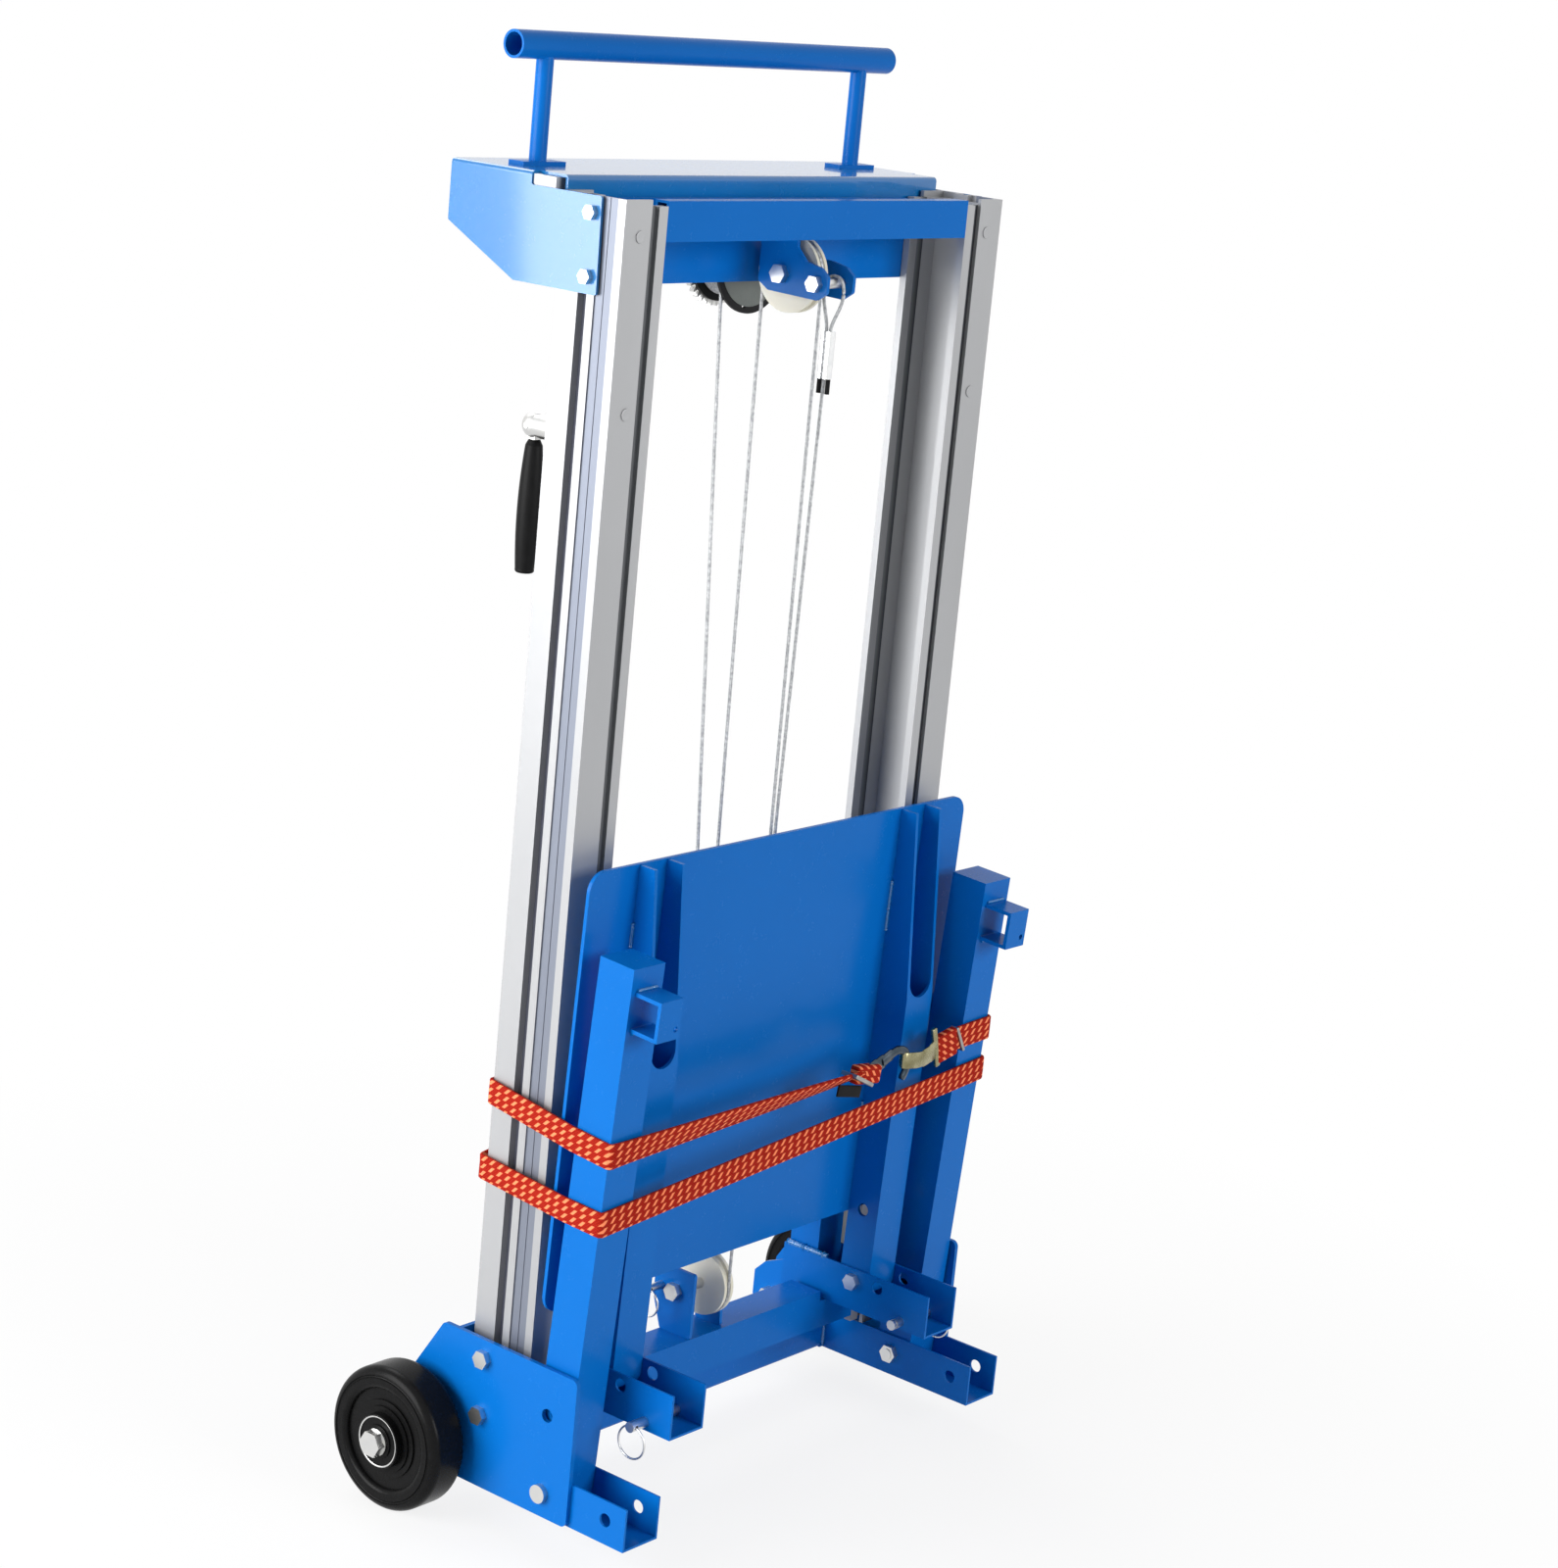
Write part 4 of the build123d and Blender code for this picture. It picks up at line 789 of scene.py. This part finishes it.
YELLOW = plated("yellow_zinc", rgb(0.20, 0.18, 0.09), rgb(0.38, 0.36, 0.22), 0.20)
CLAMP_STEEL = plated("clamp_steel", rgb(0.26, 0.26, 0.25), rgb(0.42, 0.41, 0.39), 0.30)
DARK_STEEL = plated(
    "dark_hook_steel", rgb(0.035, 0.05, 0.065), rgb(0.10, 0.12, 0.14), 0.16)
POLISHED = plated(
    "polished_ferrule", rgb(0.80, 0.81, 0.82), rgb(0.92, 0.92, 0.92), 0.08)
nodes["rope_ferrule"].data.materials[0] = POLISHED


def bar(name, knots, width, thick, finish, taper=()):
    """A bent bar: a straight one, narrowed towards its end and laid along a route."""
    line = route(name + "_route", knots)
    line.data.twist_mode = "MINIMUM" if width < NARROW else "Z_UP"
    length = length_of(line)
    made = band(length, width, thick, BAR_STEP)
    tips = tuple((1 - back / length, share) for back, share in TIPS)
    for start, share in taper + tips:
        resized(made, lambda place, index: place.x > start * length, (1, 1, share))
    laid(made, line, "POS_X")
    return settled(made, name, finish, 50)


j_hook = bar("hook_left_bar", [
    knot((112, J_Y, 436.5), (0.94, 0, 0.34), 8),
    knot((128, J_Y, 442.5), (0.96, 0, 0.25), 6),
    knot((141, J_Y, 444.5), (1, 0, -0.12), 5),
    knot((153.5, J_Y, 437), (0.5, 0, -0.87), 5),
    knot((156, J_Y, 423), (-0.15, 0, -1), 6, 4),
    knot((149, J_Y, 410.5), (-0.6, 0, -0.8), 4),
], 0.0095, 0.0060, DARK_STEEL)
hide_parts("strap_hook_left")
shank = bar("hook_left_shank", [
    knot((94, J_Y, 430), (0.94, 0, 0.34), 8),
    knot((130, J_Y, 443), (0.94, 0, 0.34), 8),
], 0.0185, 0.0028, DARK_STEEL, ((0.3, 0.86), (0.6, 0.82)))
strip = bar("hook_right_strip", [
    knot((206, HOOK_Y - 1, 433.5), (-1, 0, -0.2), 6),
    knot((188, HOOK_Y - 3.5, 429.5), (-1, -0.12, -0.08), 7),
    knot((170, HOOK_Y - 5.5, 429), (-1, -0.03, 0.08), 8, 5),
    knot((153, HOOK_Y - 5.0, 431.3), (-1, 0.15, 0.1), 5, 3),
    knot((147.5, HOOK_Y - 2.5, 432), (-0.4, 0.9, 0), 2),
    knot((148, HOOK_Y + 1.5, 432), (0.4, 0.9, 0), 2),
], 0.0215, 0.0026, YELLOW, ((0.2, 0.92), (0.42, 0.9)))
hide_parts("strap_hook_right")
for hook in (j_hook, shank, strip):
    flattened(hook)
print("hooks", len(j_hook.data.vertices), len(strip.data.vertices))

# %% [markdown]
# Each strap end is folded back and sewn, which makes a thick pad, and a steel
# strip clamps it. These are blocks with well rounded edges.

# %% Strap ends
def pad(name, middle, size, finish, tilt, soft):
    """A block with round edges, turned a little in the plane of the strap."""
    made = added(bpy.ops.mesh.primitive_cube_add, size=1, location=(0, 0, 0))
    pick(made, lambda place, index: True)
    bpy.ops.transform.resize(value=tuple(s / MM for s in size), center_override=(0, 0, 0))
    bpy.ops.mesh.subdivide(number_cuts=3)
    done()
    modify(made, "BEVEL", width=min(size) * soft / MM, segments=4, limit_method="ANGLE")
    map_braid(made)
    turned = Matrix.Rotation(math.radians(tilt), 4, "Y")
    made.matrix_world = Matrix.Translation(at(*middle)) @ turned
    return settled(made, name, finish)


ends = [
    pad("strap_pad_left", (86, HOOK_Y - 1.0, 429), (40, 13.0, 20),
        BRAID, tilt=8, soft=0.35),
    pad("strap_clamp_left", (69, HOOK_Y - 4.0, 428), (4.5, 22.0, 33),
        CLAMP_STEEL, tilt=-63, soft=0.3),
    # The folded tail of the strap takes the black sleeve finish, which is painted shade for the
    # braid's back lying in shadow.
    pad("strap_tail_painted_shade", (63, HOOK_Y + 0.5, 414), (39, 2.4, 12.5),
        SLEEVE, tilt=12, soft=0.3),
    pad("strap_pad_right", (224, HOOK_Y + 1.0, 433.5), (33, 9.0, 31),
        BRAID, tilt=-10, soft=0.35),
    pad("strap_clamp_right", (245.5, HOOK_Y + 1.0, 437), (3.6, 10.5, 32),
        CLAMP_STEEL, tilt=-29, soft=0.3),
    pad("hook_right_plate", (205, HOOK_Y - 0.5, 435), (7, 4.4, 46),
        YELLOW, tilt=-16, soft=0.3),
]
for end in ends:
    flattened(end)
print("strap ends", [e.name for e in ends])

# %% [markdown]
# The frame is joined by hand-laid welds. A weld bead is a row of frozen ripples, so
# a thin rod is drawn in many short steps. Every third step is swollen, and two
# slower beats swell or narrow it again, so that no two ripples look the same.

# %% Weld beads
BEAD_STEP, RING, FEWEST = 0.0013, 10, 5
BEATS = ((3, 0, 1.25), (7, 4, 1.18), (5, 2, 0.88))
PLATE_Y, PLATE_Z, PLATE_LEAN = -60.5, 156, math.radians(1.9)
THIN, USUAL, THICK = 1.8, 2.2, 3.0
LEG_X, LOOP_HALF, LOOP_FACE = 277, 14, -22.4


def bead(name, start, end, radius, body):
    """A lumpy bead of weld between two places."""
    way = at(*end) - at(*start)
    made = added(bpy.ops.mesh.primitive_circle_add, vertices=RING, radius=radius / MM)
    drawn_out(made, "Z", way.length, max(FEWEST, round(way.length / BEAD_STEP)))
    for beat, step, share in BEATS:
        resized(made, lambda place, index: index // RING % beat == step, (share, share, 1))
    close_ends(made)
    turned = way.to_track_quat("Z", "Y").to_matrix().to_4x4()
    made.matrix_world = Matrix.Translation(at(*start)) @ turned
    settled(made, name, HOOD_BLUE, 80)
    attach(made, body)
    return made


def on_plate(x, z):
    """A place on the front face of the leaning platform plate."""
    return (x, PLATE_Y - (z - PLATE_Z) * math.tan(PLATE_LEAN), z)


def on_loop(x, high):
    """A place on a leaning leg's front face, from its height above the pivot."""
    return (x, LEG_Y + LOOP_FACE * math.cos(LEG_LEAN) - high * math.sin(LEG_LEAN),
            LEG_Z + LOOP_FACE * math.sin(LEG_LEAN) + high * math.cos(LEG_LEAN))


beads = [
    bead("weld_arm_right", on_plate(182.6, 552), on_plate(182.6, 607), USUAL, "platform"),
    bead("weld_arm_right_low", on_plate(182.6, 350), on_plate(182.6, 358), USUAL, "platform"),
    bead("weld_arm_left", on_plate(-227.4, 602), on_plate(-227.4, 627), USUAL, "platform"),
    bead("weld_channel_right", (182.5, 14, 171), (182.5, -42, 171), THICK, "carriage"),
    bead("weld_channel_left", (-227.5, 14, 171), (-227.5, -42, 171), THICK, "carriage"),
]
for side, way in (("left", -1), ("right", 1)):
    x = way * LEG_X
    for edge, high in (("top", 533.5), ("low", 490.5)):
        beads.append(bead(
            "weld_loop_%s_%s" % (edge, side),
            on_loop(x - LOOP_HALF, high), on_loop(x + LOOP_HALF, high), THIN, "leg_" + side))
    beads.append(bead(
        "weld_bar_" + side, (way * 250.6, 4.6, 34), (way * 250.6, 4.6, 74), USUAL, "base"))
print("weld beads", len(beads))

# %% [markdown]
# Small round pieces finish the lift: a bright ring pressed into each wheel hub,
# two screw discs on the front of each mast, and the painted face of the drum.

# %% Rings and discs
def ring(name, place, radius, thick, body):
    """A flat metal ring that stands in the YZ plane."""
    made = added(bpy.ops.mesh.primitive_torus_add, major_radius=radius / MM,
                 minor_radius=thick / MM, major_segments=72, minor_segments=12,
                 location=at(*place), rotation=(0, math.pi / 2, 0))
    resized(made, lambda place, index: True, (0.5, 1, 1), at(*place))
    settled(made, name, ZINC, 60)
    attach(made, body)


def disc(name, place, radius, thick, finish, body, dish):
    """A thin disc facing the front, with a bevelled edge and a dished middle."""
    made = added(bpy.ops.mesh.primitive_cylinder_add, vertices=48, radius=radius / MM,
                 depth=thick / MM, location=at(*place), rotation=(math.pi / 2, 0, 0))
    modify(made, "BEVEL", width=thick * 0.3 / MM, segments=3, limit_method="ANGLE")
    alone(made)
    bpy.ops.object.transform_apply(location=True, rotation=True, scale=True)
    front = min(v.co.y for v in made.data.vertices)
    pick(made, lambda place, index: place.y < front + SAME_PLACE)
    bpy.ops.mesh.inset(thickness=radius * 0.35 / MM)
    bpy.ops.transform.translate(value=(0, dish / MM, 0))
    done()
    settled(made, name, finish, 30)
    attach(made, body)


def drum_face():
    face = Finish("drum_face_paint")
    smear = face.noise(60.0, detail=5.0, rough=0.7)
    low, high = rgb(0.10, 0.115, 0.105), rgb(0.17, 0.185, 0.17)
    face.set(Base_Color=face.blend(smear, low, high))
    face.set(Roughness=0.32 + 0.2 * smear, Metallic=0.2)
    face.bump(face.noise(500.0), strength=0.08, distance=0.0003)
    return face.material


for side, way in (("left", -1), ("right", 1)):
    ring("hub_ring_" + side, (way * 368.4, 79, 66.5), 26.0, 1.1, "wheel_" + side)
    for index, z in enumerate((1284, 1119)):
        disc("mast_screw_%s_%d" % (side, index), (way * 266.6, -46.6, z), 6.0, 1.2,
             ALUMINIUM, "base", dish=0.25)
disc("drum_face", (DRUM_X, 71.75, DRUM_Z), 47.0, 0.5,
     drum_face(), "drum", dish=0.1)
print("rings and discs made")

# %% [markdown]
# The lift stands on a plain pale floor, which shows white to the camera and in
# reflections, and only a little darker under the lift.

# %% Floor
def glow_backdrop(name, colour):
    pale = Finish(name)
    pale.set(Base_Color=colour, Roughness=0.9)
    rays = pale.tree.nodes.new("ShaderNodeLightPath").outputs
    seen = Wire(pale, rays["Is Camera Ray"]) + Wire(pale, rays["Is Glossy Ray"])
    white = pale.node("ShaderNodeEmission", None, {"Color": rgb(1, 1, 1), "Strength": 1.0})
    far = pale.node("ShaderNodeVectorMath", {"operation": "LENGTH"}, {0: pale.place()}, "Value")
    share = pale.node("ShaderNodeMapRange", None, {
        "Value": far, "From Min": 0.35, "From Max": 1.3, "To Min": 0.84, "To Max": 1.0})
    lit = Wire(pale, pale.shader.outputs[0])
    shown = pale.node("ShaderNodeMixShader", None, {0: seen * share, 1: lit, 2: white})
    pale.put(pale.tree.nodes["Material Output"].inputs["Surface"], shown)
    return pale.material


floor = added(bpy.ops.mesh.primitive_plane_add, size=30, location=(0, 0, 0))
floor.name = "studio_floor"
floor.data.materials.append(glow_backdrop("pale_floor", rgb(0.9, 0.9, 0.9)))
print("made", floor.name)

# %% [markdown]
# The light is soft. The key light comes from the left and a little from behind,
# so that the left faces are the brightest, as in the photograph. The world is
# white wherever it is seen, and gives only a weak light otherwise.

# %% Light
AMBIENT = 0.20


def softbox(name, place, aim, size, power):
    data = bpy.data.lights.new(name, "AREA")
    data.shape = "RECTANGLE"
    data.size, data.size_y = size
    data.energy = power
    lamp = bpy.data.objects.new(name, data)
    bpy.context.scene.collection.objects.link(lamp)
    way = Vector(aim) - Vector(place)
    turned = way.to_track_quat("-Z", "Y").to_matrix().to_4x4()
    lamp.matrix_world = Matrix.Translation(place) @ turned


softbox("key_left", (-3.4, 1.2, 1.5), (-0.2, 0, 0.7), (3.0, 2.6), 190)
softbox("fill_front", (0.9, -4.6, 2.2), (0, 0, 0.7), (2.5, 2.0), 128)
softbox("back_top", (0.5, 2.5, 3.8), (0, 0, 1.0), (2.0, 2.0), 45)
world = bpy.data.worlds.new("studio_world")
bpy.context.scene.world = world
world.use_nodes = True
sky = world.node_tree
back = sky.nodes["Background"]
back.inputs["Color"].default_value = rgb(1, 1, 1)
rays = sky.nodes.new("ShaderNodeLightPath")
strength = sky.nodes.new("ShaderNodeMapRange")
strength.inputs["To Min"].default_value = AMBIENT
strength.inputs["To Max"].default_value = 1.0
direct = sky.nodes.new("ShaderNodeMath")
seen = sky.nodes.new("ShaderNodeMath")
for source, target in (
    (rays.outputs["Is Camera Ray"], direct.inputs[0]),
    (rays.outputs["Is Glossy Ray"], direct.inputs[1]),
    (direct.outputs[0], seen.inputs[0]),
    (rays.outputs["Is Transmission Ray"], seen.inputs[1]),
    (seen.outputs[0], strength.inputs["Value"]),
    (strength.outputs[0], back.inputs["Strength"]),
):
    sky.links.new(source, target)
